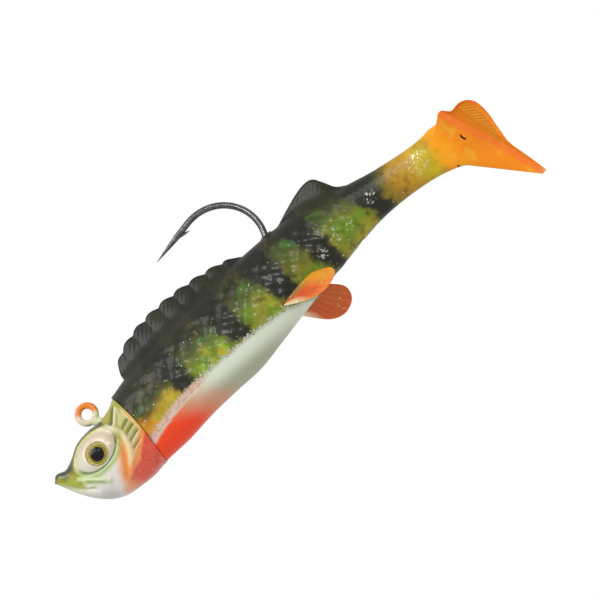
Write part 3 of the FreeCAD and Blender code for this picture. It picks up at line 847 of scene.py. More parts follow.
RED_LINE = [(-9.0, -19.5), (-5.0, -17.2), (-1.9, -16.4), (1.6, -15.7), (4.6, -13.6), (9.0, -11.0)]
HEAD_MARKS = [  # ridges and grooves: height, path, width
    (-0.3, MOUTH, 0.3), (0.16, MAXILLA, 0.5), (0.18, MAXILLA, 0.4), (-0.22, MAXILLA_CREASE, 0.28),
    (0.34, CHEEK_RIDGE, 0.5), (-0.28, CHEEK_GROOVE, 0.5), (0.3, GILL_FOLD, 0.34),
    (-0.3, GILL_FOLD_GROOVE, 0.34),
] + [(-0.24, groove, 0.24) for groove in GILL_GROOVES]
NOSTRIL = (-12.7, -4.6)
GILL_LIP = [(0.012, 0.12), (0.06, 0.1), (0.5, 0.0)]  # share of the way in, shift behind the gill edge
COLLAR_RADIUS = 1.9
RIB_RADIUS = 2.5
RIB_LENGTH = 1.8
RIB_STARTS = (7.6, 10.4)


def orbit_distance(x, z):
    """1 on the edge of the eye's oval, less inside it."""
    return np.hypot((x - ORBIT[0]) / ORBIT[2], (z - ORBIT[1]) / ORBIT[3])


def near(x, z, path, width):
    """A soft mask along a path of the side view."""
    return bump(path_distance(x, z, path)[0], width)


def signed(x, z, path):
    """Distance above a path of the side view that runs from the snout to the tail."""
    distance, side = path_distance(x, z, path)
    return -distance * side


def head_relief(x, z, flank):
    """How far the head stands out from its plain sections. Flank is 0 on the top and belly."""
    oval = orbit_distance(x, z)
    upper = smooth(-9.8, -7.0, z)
    relief = 0.35 * (1 - smooth(0.55, 0.98, oval))
    relief = relief - 0.34 * bump(oval - 1.0, 0.075) * (1 - 0.75 * upper)
    relief = relief + 0.16 * bump(oval - 1.16, 0.1) * upper
    for height, path, width in HEAD_MARKS:
        relief = relief + height * near(x, z, path, width)
    to_edge = gill_station(z) - x
    relief = relief + 0.14 * bump(to_edge - 0.55, 0.45)
    relief = relief * flank * smooth(-14.8, -12.8, x)
    nostril = 0.32 * bump(np.hypot(x - NOSTRIL[0], z - NOSTRIL[1]), 1.1)
    nostril = nostril - 0.18 * bump(np.hypot(x - NOSTRIL[0] - 1.7, z - NOSTRIL[1]), 0.7)
    return relief + nostril


def head_fields(x, side, z):
    """What the head's paint follows."""
    from_ridge, ridge_side = path_distance(x, z, CHEEK_RIDGE)
    return {
        "fish": np.stack([x, side, z], -1),
        "olive": signed(x, z, OLIVE_LINE),
        "oval": orbit_distance(x, z),
        "jaw": -signed(x, z, MOUTH),
        "maxilla": near(x, z, MAXILLA, 0.7),
        "crease": near(x, z, MAXILLA_CREASE, 0.34),
        "cheek_ridge": near(x, z, CHEEK_RIDGE, 0.55),
        "cheek_groove": near(x, z, CHEEK_GROOVE, 1.1),
        "gill_plate": -ridge_side * from_ridge,
        "gill_grooves": sum(near(x, z, groove, 0.3) for groove in GILL_GROOVES),
        "fold": near(x, z, GILL_FOLD, 0.3),
        "fold_groove": near(x, z, GILL_FOLD_GROOVE, 0.4),
        "red": -signed(x, z, RED_LINE),
        "to_edge": gill_station(z) - x,
        "below_top": profile(HEAD_PROFILE, x)[0] - z,
    }


def seat_eyes(points):
    """Presses the surface flat under each eye."""
    turn = math.radians(EYE_TURN)
    for side in (-1, 1):
        axis = np.array([-math.sin(turn), side * math.cos(turn), 0.0])
        centre = np.array([EYE[0], side * EYE_FACE, EYE[1]])
        offset = points - centre
        out = offset @ axis
        radius = np.linalg.norm(offset - out[..., None] * axis, axis=-1)
        pressed = (1 - smooth(EYE_RADIUS - 0.02, EYE_RADIUS + 0.32, radius)) * (out > -3.0)
        points = points + axis * ((EYE_SEAT - out) * pressed)[..., None]
    return points


def head_grid():
    """Stations, sides, heights and points of the skull's rings."""
    first, last = HEAD_PROFILE[0][0], RING_START
    count = int(round((last - first) / HEAD_STEP))
    share = np.linspace(0.0, 1.0, count + 1)
    base = first + (last - first) * share ** 1.12
    back, belly, half = (value[:, None] for value in profile(HEAD_PROFILE, base))
    ahead = np.clip((first + SNOUT_ROUND - base[:, None]) / (SNOUT_ROUND + 0.08), 0.0, 1.0)
    snout = np.sqrt(1 - ahead ** 2)
    centre = 0.5 * (back + belly)
    back, belly, half = centre + (back - centre) * snout, centre + (belly - centre) * snout, half * snout
    angle = np.linspace(-0.5 * np.pi, 0.5 * np.pi, HEAD_POINTS)[None, :]
    power = 2 / SECTION_POWER
    side = both_sides(half * np.abs(np.cos(angle)) ** power, -1.0)
    rise = np.sign(np.sin(angle)) * np.abs(np.sin(angle)) ** power
    height = both_sides(0.5 * (back + belly) + 0.5 * (back - belly) * rise)
    station = base[:, None] + 0 * side
    station = station + (gill_station(height) - last) * smooth(-1.0, last, station)
    points = np.stack([station, side, height], -1)
    flank = smooth(0.12, 0.5, np.abs(side) / half)
    relief = head_relief(station, height, flank)
    points = points + grid_normals(points) * relief[..., None]
    return station, side, height, seat_eyes(points)


def head_back(points):
    """Rings from the gill edge in to the collar, along its ribs, and shut."""
    edge = points[-1]
    angles = np.arctan2(edge[:, 2] - SHANK_HEIGHT, edge[:, 1])
    wall = gill_station(SHANK_HEIGHT) - 0.3
    steps = [(wall, COLLAR_RADIUS)]
    for start in RIB_STARTS:
        steps += [(start, COLLAR_RADIUS), (start, RIB_RADIUS), (start + RIB_LENGTH, COLLAR_RADIUS)]
    end = COLLAR_END - 0.1
    steps += [(end - 0.4, COLLAR_RADIUS), (end, COLLAR_RADIUS - 0.4), (end, 0.0)]
    circles = [np.stack([x + 0 * angles, radius * np.cos(angles), SHANK_HEIGHT + radius * np.sin(angles)], -1)
               for x, radius in steps]
    lip = [edge + (circles[0] - edge) * share + np.array([shift, 0.0, 0.0]) for share, shift in GILL_LIP]
    return np.stack(lip + circles)


def painted_head():
    """The cast head with its keeper collar."""
    station, side, height, points = head_grid()
    back = head_back(points)
    middle = points[0].mean(axis=0)
    tip = np.stack([middle + (points[0] - middle) * share + np.array([shift, 0.0, 0.0])
                    for share, shift in SNOUT_TIP])
    rings = np.concatenate([tip, points, back])
    # The paint follows the places of the plain sections, not of the relief.
    plain = np.concatenate([tip, np.stack([station, side, height], -1), back])
    head = new_mesh("painted_head", rings, grid_faces(len(rings), rings.shape[1]),
                    head_fields(*np.moveaxis(plain, -1, 0)))
    face_outward(head)
    head.data.materials.append(head_paint())
    return head


def head_paint():
    """Airbrushed enamel: pearl face, olive snout and crown, orange gill stripe and red throat. Painted shade
    and painted highlights lie on the jaw, the maxilla and the gill plate.
    """
    paint = Paint("head_paint", "e9e9dc", roughness=0.25, coat=0.6, shine=0.4)
    x, z = paint.station(), paint.height()
    field = paint.attribute
    oval = field("oval")
    above_oval = paint.step(z, -9.6, -6.8)
    below_oval = paint.step(z, -7.2, -9.4)
    # Painted shade: grey on the lower jaw and the chin, which face down, away from the light.
    paint.layer("cfd2cc", 0.7, (field("jaw"), 0.2, 1.6))
    paint.layer("c2b6b4", 0.6, (z, -12.8, -16.5), (x, -2.0, -6.0))
    paint.layer("cfe0a2", 0.8, (paint.rough_edge(oval, 0.2, 2.0), 1.6, 1.15), below_oval)
    paint.layer("e9dfe0", 0.8, (z, -12.2, -13.6), (x, -7.5, -5.5), (x, -0.5, -2.5))
    # The olive snout and crown.
    olive = paint.rough_edge(field("olive"), 0.5, 1.2)
    high = paint.step(z, -13.2, -11.6)
    crest = paint.rough_edge(field("below_top"), 0.5, 1.5)
    behind_tip = paint.math("MAXIMUM", paint.step(x, -13.0, -12.0), paint.step(z, -5.6, -4.9))
    paint.layer("c0c258", 0.8, (olive, -0.9, 0.2), (x, 3.0, 1.0), high)
    paint.layer("98931f", 1.0, (olive, -0.1, 0.7), (x, 3.4, 1.6), high)
    paint.layer("a8b23c", 0.7, (x, -9.5, -11.5), (z, -6.4, -8.0), (olive, 0.0, 0.6))
    paint.layer("5a6020", 0.85, (crest, 3.0, 1.6), (oval, 1.08, 1.2), behind_tip)
    paint.layer("2f371a", 0.92, (crest, 2.1, 1.0), (oval, 1.08, 1.25), behind_tip)
    # Painted shade in the groove under the gill plate's fold.
    paint.layer("4b5a1e", 0.9, field("fold_groove"), (x, 0.5, 1.5))
    # The gill plate, with painted shade in its grooves and a painted highlight on its fold.
    plate = field("gill_plate")
    paint.layer("a5a238", 1.0, (plate, 0.1, 0.9), (z, -13.6, -10.2))
    paint.layer("cdb468", 0.9, (plate, 0.1, 0.7), (z, -10.0, -12.6))
    paint.layer("e4b468", 0.9, (field("to_edge"), 1.1, 0.4), (z, -5.0, -8.0))
    # Painted shade in the grooves, a painted highlight on the fold, and painted shade in the groove beside
    # the fold.
    paint.layer("5c5a18", 0.9, field("gill_grooves"))
    paint.layer("f1ecbc", 0.9, field("fold"))
    paint.layer("4b4f1c", 0.85, field("fold_groove"), (z, -8.0, -6.8))
    # The orange stripe and the cream ridge beside it.
    peach = paint.rough_edge(plate, 0.8, 2.0)
    paint.layer("f3b98c", 0.85, (peach, -3.6, -1.4), (plate, 0.6, 0.1), below_oval, (z, -9.0, -12.0))
    paint.layer("ef8f38", 1.0, field("cheek_groove"), (z, -7.6, -9.6))
    paint.layer("f0d8a0", 0.95, field("cheek_ridge"), (z, -6.5, -8.5))
    # The throat.
    red = paint.rough_edge(field("red"), 0.6, 1.5)
    paint.layer("f08a34", 1.0, (red, -1.5, -0.5), (x, -5.0, -1.0))
    paint.layer("eda272", 0.85, (red, -1.0, 0.6), (x, -9.5, -5.0))
    paint.layer("e2452a", 0.95, (red, -0.35, 0.35), (x, -4.5, -0.5))
    throat = paint.both((red, -0.1, 0.6), (x, -4.5, -0.5))
    paint.layer("c5302a", 0.7, throat, (paint.noise(1.4, 4.0), 0.52, 0.66))
    paint.layer("f08a68", 0.55, throat, (paint.noise(0.9, 4.0), 0.58, 0.7))
    # The eye's surround.
    paint.layer("e6cfb2", 1.0, (oval, 1.0, 0.92))
    paint.layer("b9b8a2", 0.55, (oval, 0.98, 0.84), (oval, 0.6, 0.84))
    paint.layer("d8e0cc", 0.6, (oval, 1.0, 0.92), (x, -5.0, -7.4))
    paint.layer("d8cc90", 0.7, (oval, 0.94, 1.0), (oval, 1.12, 1.04), above_oval)
    paint.layer("8fa848", 0.7, (oval, 0.98, 1.06), (oval, 1.5, 1.15), below_oval)
    paint.layer("47691f", 0.9, (oval, 0.92, 0.98), (oval, 1.1, 1.02), below_oval)
    # The maxilla: a painted highlight on its ridge and painted shade in the crease beside it.
    paint.layer("b4c868", 0.6, field("maxilla"))
    paint.layer("7c9440", 0.55, field("crease"))
    paint.layer("343a1c", 0.9, (x, -10.4, -11.2), (x, -14.2, -13.4),
                (paint.rough_edge(field("below_top"), 0.4, 1.0), 1.3, 0.6), behind_tip)
    paint.layer("ffffff", 0.06, (paint.noise(0.25, 1.0), 0.62, 0.72))
    paint.grain(0.9, 0.03, 2.0)
    return paint.done()


# The eyes. Heights are along an eye's axis, from the head's face.

TURNED_POINTS = 72
FOIL_BACK = -0.62
FOIL_FACE = -0.32
FOIL_EDGE = 0.05
FOIL_RING_SPACING = 0.24
FOIL_RING_HEIGHT = 0.035
PUPIL_RADIUS = 1.46
PUPIL_RISE = 0.12
LENS_FOOT = -0.3
LENS_RISE = 1.0
IRIS = [(0.0, "040404"), (0.6, "060604"), (0.63, "6a5c18"), (0.68, "e0cc48"), (0.76, "a8942c"),
        (0.83, "e8e068"), (0.93, "f6f088"), (0.985, "6c6218")]  # share of the eye's radius, colour


def lathe(name, outline, place):
    """A turned piece from (radius, distance out) points, on the axis of an eye."""
    angles = np.linspace(0.0, 2 * np.pi, TURNED_POINTS, endpoint=False)
    rings = np.stack([np.stack([radius * np.cos(angles), radius * np.sin(angles), out + 0 * angles], -1)
                      for radius, out in outline])
    fields = {"radius": np.linalg.norm(rings[..., :2], axis=-1)}
    piece = new_mesh(name, rings, grid_faces(len(outline), TURNED_POINTS), fields)
    piece.data.transform(place)
    face_outward(piece)
    return piece


def eye_place(side):
    """The frame of an eye: Z out along its axis, the origin in the middle of its face."""
    turn = math.radians(EYE_TURN)
    out = Vector((-math.sin(turn), side * math.cos(turn), 0.0))
    up = Vector((0.0, 0.0, 1.0))
    across = up.cross(out)
    turned = Matrix((across, up, out)).transposed().to_4x4()
    return Matrix.Translation(Vector((EYE[0], side * EYE_FACE, EYE[1])) * MM) @ turned


def foil_outline():
    """The foil's section: a black pupil's button in the middle and fine rings round it."""
    rim = EYE_RADIUS - FOIL_EDGE
    outline = [(0.0, FOIL_BACK), (rim, FOIL_BACK), (rim, FOIL_FACE - 0.04)]
    for radius in np.linspace(rim - 0.05, PUPIL_RADIUS + 0.04, 36):
        ring = math.cos(2 * math.pi * radius / FOIL_RING_SPACING)
        outline.append((radius, FOIL_FACE + FOIL_RING_HEIGHT * ring))
    for radius in np.linspace(PUPIL_RADIUS - 0.01, 0.0, 12):
        dome = math.sqrt(1 - (radius / PUPIL_RADIUS) ** 2)
        outline.append((radius, FOIL_FACE + 0.02 + PUPIL_RISE * dome))
    return outline


def lens_outline():
    """The clear dome's section."""
    outline = [(0.0, LENS_FOOT), (EYE_RADIUS, LENS_FOOT)]
    for turn in np.linspace(0.0, 0.5 * np.pi, 20)[1:]:
        outline.append((EYE_RADIUS * math.cos(turn), LENS_FOOT + LENS_RISE * math.sin(turn) ** 0.9))
    return outline


def foil_material():
    """Gold foil with a brown edge, a pale ring and a black pupil."""
    paint = Paint("eye_foil", "ffffff", roughness=0.5, coat=0.0, shine=0.1)
    paint.shade("Metallic", 0.05)
    ramp = paint.node("ShaderNodeValToRGB", Fac=paint.math("DIVIDE", paint.attribute("radius"), EYE_RADIUS))
    while len(ramp.color_ramp.elements) < len(IRIS):
        ramp.color_ramp.elements.new(0.5)
    for element, (place, colour) in zip(ramp.color_ramp.elements, IRIS):
        element.position = place
        element.color = (*linear(colour), 1.0)
    grain = paint.node("ShaderNodeTexNoise", Scale=1.5 / MM)
    blend = paint.node("ShaderNodeMix", {"data_type": "RGBA", "blend_type": "SOFT_LIGHT"})
    for index, value in ((0, 0.5), (6, ramp.outputs["Color"]), (7, grain.outputs["Fac"])):
        paint.feed(blend.inputs[index], value)
    paint.colour = blend.outputs[2]
    return paint.done()


def lens_material():
    """Clear cast resin."""
    paint = Paint("eye_lens", "ffffff", coat=0.0)
    waves = paint.node("ShaderNodeTexNoise", Scale=0.4 / MM)
    spread = paint.node("ShaderNodeMapRange", Value=waves.outputs["Fac"], To_Min=0.01, To_Max=0.05)
    paint.shade("Base Color", (0.99, 0.99, 0.96, 1.0))
    paint.shade("Transmission Weight", 1.0)
    paint.shade("IOR", 1.33)
    paint.shade("Roughness", spread.outputs["Result"])
    return paint.material


# The hook.

WIRE_RADIUS = 0.675
WIRE_POINTS = 28
LOOP_POINTS = 72
EYE_RING_RADIUS = 1.82
STALK_FOOT = (2.6, -5.6)
STALK_BEND_RADIUS = 1.6
BEND_CENTRE_X = 42.7
BEND_RADIUS = 9.15
POINT_LEG_TURN = 186.0
POINT_LEG_LENGTH = 2.6
POINT_LENGTH = 7.4
TIP_RADIUS = 0.06
SHANK_ENDS = (8.0, 38.0)
BARB_ROOT = 1.6
BARB_LENGTH = 3.4
BARB_LIFT = 1.1
BARB_THICKNESS = 0.5


def arc(centre, radius, start, end, count):
    """Points of the mid-plane on an arc, by angles in degrees."""
    angles = np.radians(np.linspace(start, end, count))
    return [(centre[0] + radius * math.cos(a), centre[1] + radius * math.sin(a)) for a in angles]


def hook_line():
    """The wire's centre line as x, z points, and the wire's radius at each."""
    stalk = np.array([STALK_FOOT[0], STALK_FOOT[1] + EYE_RING_RADIUS])
    fall = math.degrees(math.atan2(-stalk[1], stalk[0]))
    trim = STALK_BEND_RADIUS * math.tan(math.radians(0.5 * fall))
    centre = (STALK_FOOT[0] + trim, STALK_FOOT[1] + STALK_BEND_RADIUS)
    points = [(0.0, -EYE_RING_RADIUS)] + arc(centre, STALK_BEND_RADIUS, -90 - fall, -90, 12)
    bend_centre = (BEND_CENTRE_X, STALK_FOOT[1] + BEND_RADIUS)
    points += [(x, STALK_FOOT[1]) for x in np.linspace(*SHANK_ENDS, 11)]
    points += arc(bend_centre, BEND_RADIUS, -90.0, POINT_LEG_TURN - 90.0, 72)
    along = np.array([math.cos(math.radians(POINT_LEG_TURN)), math.sin(math.radians(POINT_LEG_TURN))])
    leg = np.array(points[-1])
    radii = [WIRE_RADIUS] * len(points)
    for share in np.linspace(0.0, 1.0, 16):
        points.append(tuple(leg + along * (POINT_LEG_LENGTH + POINT_LENGTH * share)))
        radii.append(WIRE_RADIUS * (1 - share ** 1.25) + TIP_RADIUS * share)
    points.append(tuple(np.array(points[-1]) + along * 0.05))
    radii.append(0.0)
    # The wire is thicker where it meets the line eye.
    radii[0], radii[1] = 1.5 * WIRE_RADIUS, 1.15 * WIRE_RADIUS
    return np.array(points), np.array(radii), leg + along * POINT_LEG_LENGTH, along


def sweep(line, radii):
    """Rings of points round a line of the mid-plane."""
    along = np.gradient(line, axis=0)
    along /= np.linalg.norm(along, axis=1, keepdims=True)
    across = np.stack([-along[:, 1], along[:, 0]], -1)
    angles = np.linspace(0.0, 2 * np.pi, WIRE_POINTS, endpoint=False)
    c, s = np.cos(angles)[None, :], np.sin(angles)[None, :]
    x = line[:, :1] + across[:, :1] * radii[:, None] * c
    z = line[:, 1:] + across[:, 1:] * radii[:, None] * c
    return np.stack([x, radii[:, None] * s, z], -1)


def barb_solid(point_start, along):
    """The barb: a sliver raised from the inner side of the wire, pointing back to the bend."""
    inner = np.array([along[1], -along[0]])
    if inner[1] > 0:
        inner = -inner
    foot = point_start + along * BARB_ROOT + inner * (0.3 * WIRE_RADIUS)
    tip = foot - along * BARB_LENGTH + inner * BARB_LIFT
    heel = foot - along * (0.72 * BARB_LENGTH)
    rows = []
    for share in np.linspace(0.0, 1.0, 9):
        upper = foot + (tip - foot) * share + inner * 0.22 * math.sin(math.pi * share)
        lower = foot + (heel - foot) * share + (tip - heel) * share ** 3
        thick = 0.5 * BARB_THICKNESS * (1 - share) + 0.04
        rows.append([(upper[0], -0.4 * thick, upper[1]), (upper[0], 0.4 * thick, upper[1]),
                     (lower[0], thick, lower[1]), (lower[0], -thick, lower[1])])
    return np.array(rows)


def wire_hook():
    """The hook: line eye, stalk, shank, bend, point and barb."""
    line, radii, point_start, along = hook_line()
    wire = sweep(line, radii)
    turn = np.radians(np.linspace(-90.0, 270.0, LOOP_POINTS, endpoint=False))
    loop_line = np.stack([EYE_RING_RADIUS * np.cos(turn), EYE_RING_RADIUS * np.sin(turn)], -1)
    # A point more at each end gives the loop's ends the right direction.
    loop_line = np.concatenate([loop_line[-1:], loop_line, loop_line[:1]])
    loop = sweep(loop_line, np.full(LOOP_POINTS + 2, WIRE_RADIUS))[1:-1]
    barb = barb_solid(point_start, along)
    points, faces = [], []
    for rings, closed in ((wire, False), (loop, True), (barb, False)):
        first = sum(len(part) for part in points)
        count = rings.shape[1]
        part_faces = grid_faces(len(rings), count).tolist()
        if closed:
            last = (len(rings) - 1) * count
            part_faces += [[last + k, last + (k + 1) % count, (k + 1) % count, k] for k in range(count)]
        else:
            part_faces += [list(range(count)), [(len(rings) - 1) * count + k for k in range(count)]]
        faces += [[first + corner for corner in face] for face in part_faces]
        points.append(rings.reshape(-1, 3))
    points = np.concatenate(points)
    hook = new_mesh("wire_hook", points, faces, {"fish": points})
    face_outward(hook)
    hook.data.materials.append(nickel())
    return hook


def nickel():
    """Black nickel wire, with the head's paint on the line eye and its stalk."""
    paint = Paint("black_nickel", "727274", roughness=0.16, coat=0.0)
    x, z = paint.station(), paint.height()
    paint.layer("2c2c2e", 0.5, (paint.noise(1.2, 3.0), 0.35, 0.65))
    painted = paint.both((paint.rough_edge(x, 0.4, 0.6), 6.0, 5.0), (z, -6.0, -5.6))
    slant = paint.plus(paint.times(x, 0.55), z)
    paint.layer("e8dcc0", 1.0, painted)
    paint.layer("d9dcae", 1.0, painted, (z, -1.3, -2.4))
    paint.layer("f08a2c", 1.0, painted, (paint.rough_edge(slant, 0.7, 0.8), -0.7, 0.7))
    paint.layer("7c8248", 0.6, painted, (z, -3.0, -4.2))
    metal = paint.minus(1.0, painted)
    paint.shade("Metallic", paint.times(metal, 0.9))
    paint.grain(0.8, 0.004)
    return paint.done()


# The pelvic fins.

FIN_OUTLINE = [(43.2, 0.0), (45.6, 3.9), (48.4, 7.6), (51.4, 8.9), (54.3, 7.4), (54.9, 4.0), (52.0, 0.0)]
FIN_SPLAY = 46.0
FIN_ROOT_ANGLE = -37.0
FIN_HALF_THICKNESS = 0.4
FIN_RAYS = 11
FIN_SINK = 0.5
FIN_SWEEP = {-1: 0.0, 1: 8.0}  # degrees that the left and the right fin are turned along the body
FIN_RIM_POINTS = 90
FIN_REACH_POINTS = 30
FIN_REACH = 9.0
FIN_RAY_HEIGHT = 0.02


def fin_root_point(station, side):
    """Where a pelvic fin's root meets the flank."""
    back, belly, half = (float(value) for value in profile(BODY_PROFILE, station))
    c, s = math.cos(math.radians(FIN_ROOT_ANGLE)), math.sin(math.radians(FIN_ROOT_ANGLE))
    power = 2 / SECTION_POWER
    return np.array([station, side * half * c ** power,
                     0.5 * (back + belly) - 0.5 * (back - belly) * abs(s) ** power])


def fin_frame(side):
    """A pelvic fin's root, and its directions along the body, outward, and across the blade."""
    start, end = fin_root_point(FIN_OUTLINE[0][0], side), fin_root_point(FIN_OUTLINE[-1][0], side)
    along = (end - start) / np.linalg.norm(end - start)
    splay = math.radians(FIN_SPLAY)
    out = np.array([0.0, side * math.sin(splay), -math.cos(splay)])
    out = out - along * (out @ along)
    out = out / np.linalg.norm(out)
    sweep = math.radians(FIN_SWEEP[side])
    c, s = math.cos(sweep), math.sin(sweep)
    along, out = along * c + out * s, out * c - along * s
    return start, along, out, np.cross(along, out) * side


def pelvic_blade(name, side):
    """One pelvic fin: a thin ribbed blade with a round edge, fullest at its root."""
    start, along, out, across = fin_frame(side)
    knots = np.linspace(0.0, 1.0, len(FIN_OUTLINE))
    share = np.linspace(0.0, 1.0, FIN_RIM_POINTS)
    rim_x = curve_through([(k, p[0]) for k, p in zip(knots, FIN_OUTLINE)], share)
    rim_out = curve_through([(k, p[1]) for k, p in zip(knots, FIN_OUTLINE)], share)
    root_x = FIN_OUTLINE[0][0] + (FIN_OUTLINE[-1][0] - FIN_OUTLINE[0][0]) * share
    # Each ring runs out from the root over one face, and back over the other.
    reach = np.sin(0.5 * np.pi * np.linspace(0.0, 1.0, FIN_REACH_POINTS))
    r = np.concatenate([reach, reach[-2::-1]])[None, :]
    face = np.concatenate([np.ones(FIN_REACH_POINTS), -np.ones(FIN_REACH_POINTS - 1)])[None, :]
    x = root_x[:, None] + (rim_x - root_x)[:, None] * r
    y = -FIN_SINK + (rim_out[:, None] + FIN_SINK) * r
    edge = np.sqrt(np.clip(np.sin(np.pi * share), 0.0, 1.0))[:, None]
    thick = FIN_HALF_THICKNESS * np.sqrt(np.clip(1 - r ** 6, 0.0, 1.0)) * (1 - 0.45 * r) * edge
    rays = 0.5 + 0.5 * np.cos(2 * np.pi * FIN_RAYS * share)[:, None] + 0 * r
    thick = thick + FIN_RAY_HEIGHT * (rays - 0.5) * smooth(0.15, 0.4, r) * smooth(0.98, 0.8, r) * edge
    curl = 0.5 * (y / FIN_REACH) ** 2 - 0.25 * np.sin(np.pi * share)[:, None] * r
    first = FIN_OUTLINE[0][0]
    points = (start + along * (x - first)[..., None] + out * y[..., None]
              + across * (thick * face + curl)[..., None])
    fields = {"fish": np.stack([x, y, 0 * x + face * side], -1), "ray": rays, "lead": share[:, None] + 0 * r,
              "reach": r + 0 * x, "outer": (face > 0) + 0 * x}
    blade = new_mesh(name, points, grid_faces(len(points), points.shape[1]), fields)
    face_outward(blade)
    return blade


def fin_plastic():
    """Translucent orange fins, with a painted highlight along the leading edge and a gold tip."""
    paint = Paint("fin_plastic", "ea7a2a", roughness=0.34, coat=0.2, shine=0.25)
    lead, reach, ray = (paint.attribute(name) for name in ("lead", "reach", "ray"))
    outer = paint.attribute("outer")
    lead = paint.rough_edge(lead, 0.16, 2.5)
    paint.layer("d9501e", 0.9, (lead, 0.62, 0.4), (reach, 0.98, 0.6))
    paint.layer("e9a028", 0.95, (lead, 0.5, 0.72), outer)
    paint.layer("cc561a", 0.75, (outer, 0.6, 0.4))
    paint.layer("b4521e", 0.15, (ray, 0.5, 0.0), (outer, 0.6, 0.4))
    # A painted highlight: cream along the leading edge.
    paint.layer("e8dcae", 0.85, (lead, 0.34, 0.14), (reach, 0.25, 0.6))
    paint.layer("8a8c4a", 0.7, (reach, 0.34, 0.12), (lead, 0.8, 0.4))
    paint.layer("f4b868", 0.1, (ray, 0.7, 1.0))
    paint.layer("c8743a", 0.4, (paint.noise(1.4, 3.0), 0.5, 0.75))
    flake, _ = paint.flakes(0.4, 0.02, 3.1)
    paint.layer("f6e2a0", 0.7, flake)
    paint.shade("Subsurface Weight", 0.4)
    paint.shade("Subsurface Radius", SCATTER)
    paint.shade("Subsurface Scale", 0.5 * MM)
    paint.grain(0.5, 0.04)
    return paint.done()


def build_hook():
    """The hook in place of its CAD solid."""
    hook = wire_hook()
    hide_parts("jig_hook")
    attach(hook, "jig")


def build_pelvic_fins():
    """The pelvic fins, in place of their CAD solids."""
    material = fin_plastic()
    for name, side in (("left", -1), ("right", 1)):
        blade = pelvic_blade(name + "_fin_blade", side)
        blade.data.materials.append(material)
        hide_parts(name + "_pelvic_fin")
        start, along, out, _ = fin_frame(side)
        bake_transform(blade)


# The camera, the lights and the floor.

CAMERA_AIM = (43.0, -2.0, -11.0)
CAMERA_DISTANCE = 900.0
CAMERA_ELEVATION = -15.0
CAMERA_ROLL = 46.0
CAMERA_LENS = 270.0
CAMERA_SLIDE = (5.7, -0.9)
SENSOR_WIDTH = 36.0
FLOOR_HEIGHT = -0.45  # metres
FLOOR_HALF = 6.0
KEY_LIGHT = ((-0.25, -0.55, 0.55), 0.5, 3.0)  # place and size in metres, power
GLINT_LIGHT = ((0.1, -0.75, 0.2), 0.1, 0.7)
LIGHT_ABOVE = 0.7
LIGHT_BELOW = 0.4


def make_camera():
    """A long lens that looks at the left side from a little below, turned so that the tail points up."""
    tilt, roll = math.radians(CAMERA_ELEVATION), math.radians(CAMERA_ROLL)
    back = Vector((0.0, -math.cos(tilt), math.sin(tilt)))
    fish_up = Vector((0.0, math.sin(tilt), math.cos(tilt)))
    fish_along = Vector((1.0, 0.0, 0.0))
    right = fish_along * math.cos(roll) - fish_up * math.sin(roll)
    up = fish_along * math.sin(roll) + fish_up * math.cos(roll)
    data = bpy.data.cameras.new("camera")
    data.lens = CAMERA_LENS
    data.sensor_width = SENSOR_WIDTH
    data.clip_start, data.clip_end = 0.05, 50.0
    camera = bpy.data.objects.new("camera", data)
    place = Vector(CAMERA_AIM) + back * CAMERA_DISTANCE + right * CAMERA_SLIDE[0] + up * CAMERA_SLIDE[1]
    camera.matrix_world = Matrix.Translation(place * MM) @ Matrix((right, up, back)).transposed().to_4x4()
    bpy.context.scene.collection.objects.link(camera)
    bpy.context.scene.camera = camera


def area_light(name, place, size, power):
    """A soft square light that faces the fish."""
    data = bpy.data.lights.new(name, "AREA")
    data.shape, data.size, data.energy = "SQUARE", size, power
    light = bpy.data.objects.new(name, data)
    light.location = place
    light.rotation_mode = "QUATERNION"
    light.rotation_quaternion = (Vector(place) - Vector(CAMERA_AIM) * MM).to_track_quat("Z", "Y")
    bpy.context.scene.collection.objects.link(light)


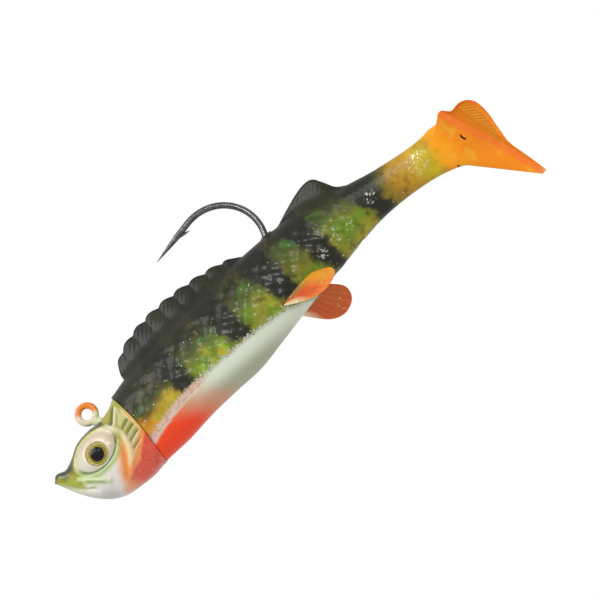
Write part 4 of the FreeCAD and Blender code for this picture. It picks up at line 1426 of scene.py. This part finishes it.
def make_studio():
    """White surroundings, a large soft light above, a small one for the glints, and a pale floor."""
    world = bpy.data.worlds.new("studio")
    world.use_nodes = True
    nodes = Nodes(world.node_tree)
    surround = nodes.tree.nodes["Background"]
    direction = nodes.node("ShaderNodeTexCoord")
    axes = nodes.node("ShaderNodeSeparateXYZ", Vector=direction.outputs["Generated"])
    fade = nodes.node("ShaderNodeMapRange", Value=axes.outputs["Z"], From_Min=-0.6, From_Max=0.8,
                      To_Min=LIGHT_BELOW, To_Max=LIGHT_ABOVE)
    path = nodes.node("ShaderNodeLightPath")
    seen = nodes.node("ShaderNodeMix")
    for index, value in ((0, path.outputs["Is Camera Ray"]), (2, fade.outputs["Result"]), (3, 1.0)):
        nodes.feed(seen.inputs[index], value)
    nodes.feed(surround.inputs["Strength"], seen.outputs[0])
    surround.inputs["Color"].default_value = (1.0, 1.0, 1.0, 1.0)
    bpy.context.scene.world = world
    area_light("soft_key", *KEY_LIGHT)
    area_light("glint", *GLINT_LIGHT)
    make_floor()
    bpy.context.scene.view_settings.view_transform = "Standard"


def make_floor():
    """A plain pale floor, far below the fish."""
    floor_mesh = bpy.data.meshes.new("floor")
    corners = [(x * FLOOR_HALF, y * FLOOR_HALF) for x, y in ((-1, -1), (1, -1), (1, 1), (-1, 1))]
    floor_mesh.from_pydata([(x, y, FLOOR_HEIGHT) for x, y in corners], [], [(0, 1, 2, 3)])
    floor = bpy.data.objects.new("floor", floor_mesh)
    material = bpy.data.materials.new("pale_floor")
    material.use_nodes = True
    shader = material.node_tree.nodes["Principled BSDF"]
    shader.inputs["Base Color"].default_value = (0.86, 0.86, 0.85, 1.0)
    shader.inputs["Roughness"].default_value = 0.7
    floor.data.materials.append(material)
    bpy.context.scene.collection.objects.link(floor)


def build_body():
    """The soft body's skins in place of its CAD solids."""
    front, middle, tail = soft_skins(body_plastic())
    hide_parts("soft_back", "soft_belly")
    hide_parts("rear_body")
    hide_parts("tail_stem", "tail_paddle")
    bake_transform(front)
    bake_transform(middle)
    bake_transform(tail)


def build_head():
    """The head, and each eye's foil and lens."""
    head = painted_head()
    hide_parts("jig_head")
    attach(head, "jig")
    foil_paint, lens_resin = foil_material(), lens_material()
    for name, side in (("left", -1), ("right", 1)):
        foil = lathe(name + "_iris", foil_outline(), eye_place(side))
        foil.data.materials.append(foil_paint)
        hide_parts(name + "_eye_foil")
        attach(foil, "jig")
        lens = lathe(name + "_dome", lens_outline(), eye_place(side))
        lens.data.materials.append(lens_resin)
        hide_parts(name + "_eye_lens")
        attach(lens, "jig")


make_camera()
make_studio()
build_body()
build_head()
build_hook()
build_pelvic_fins()
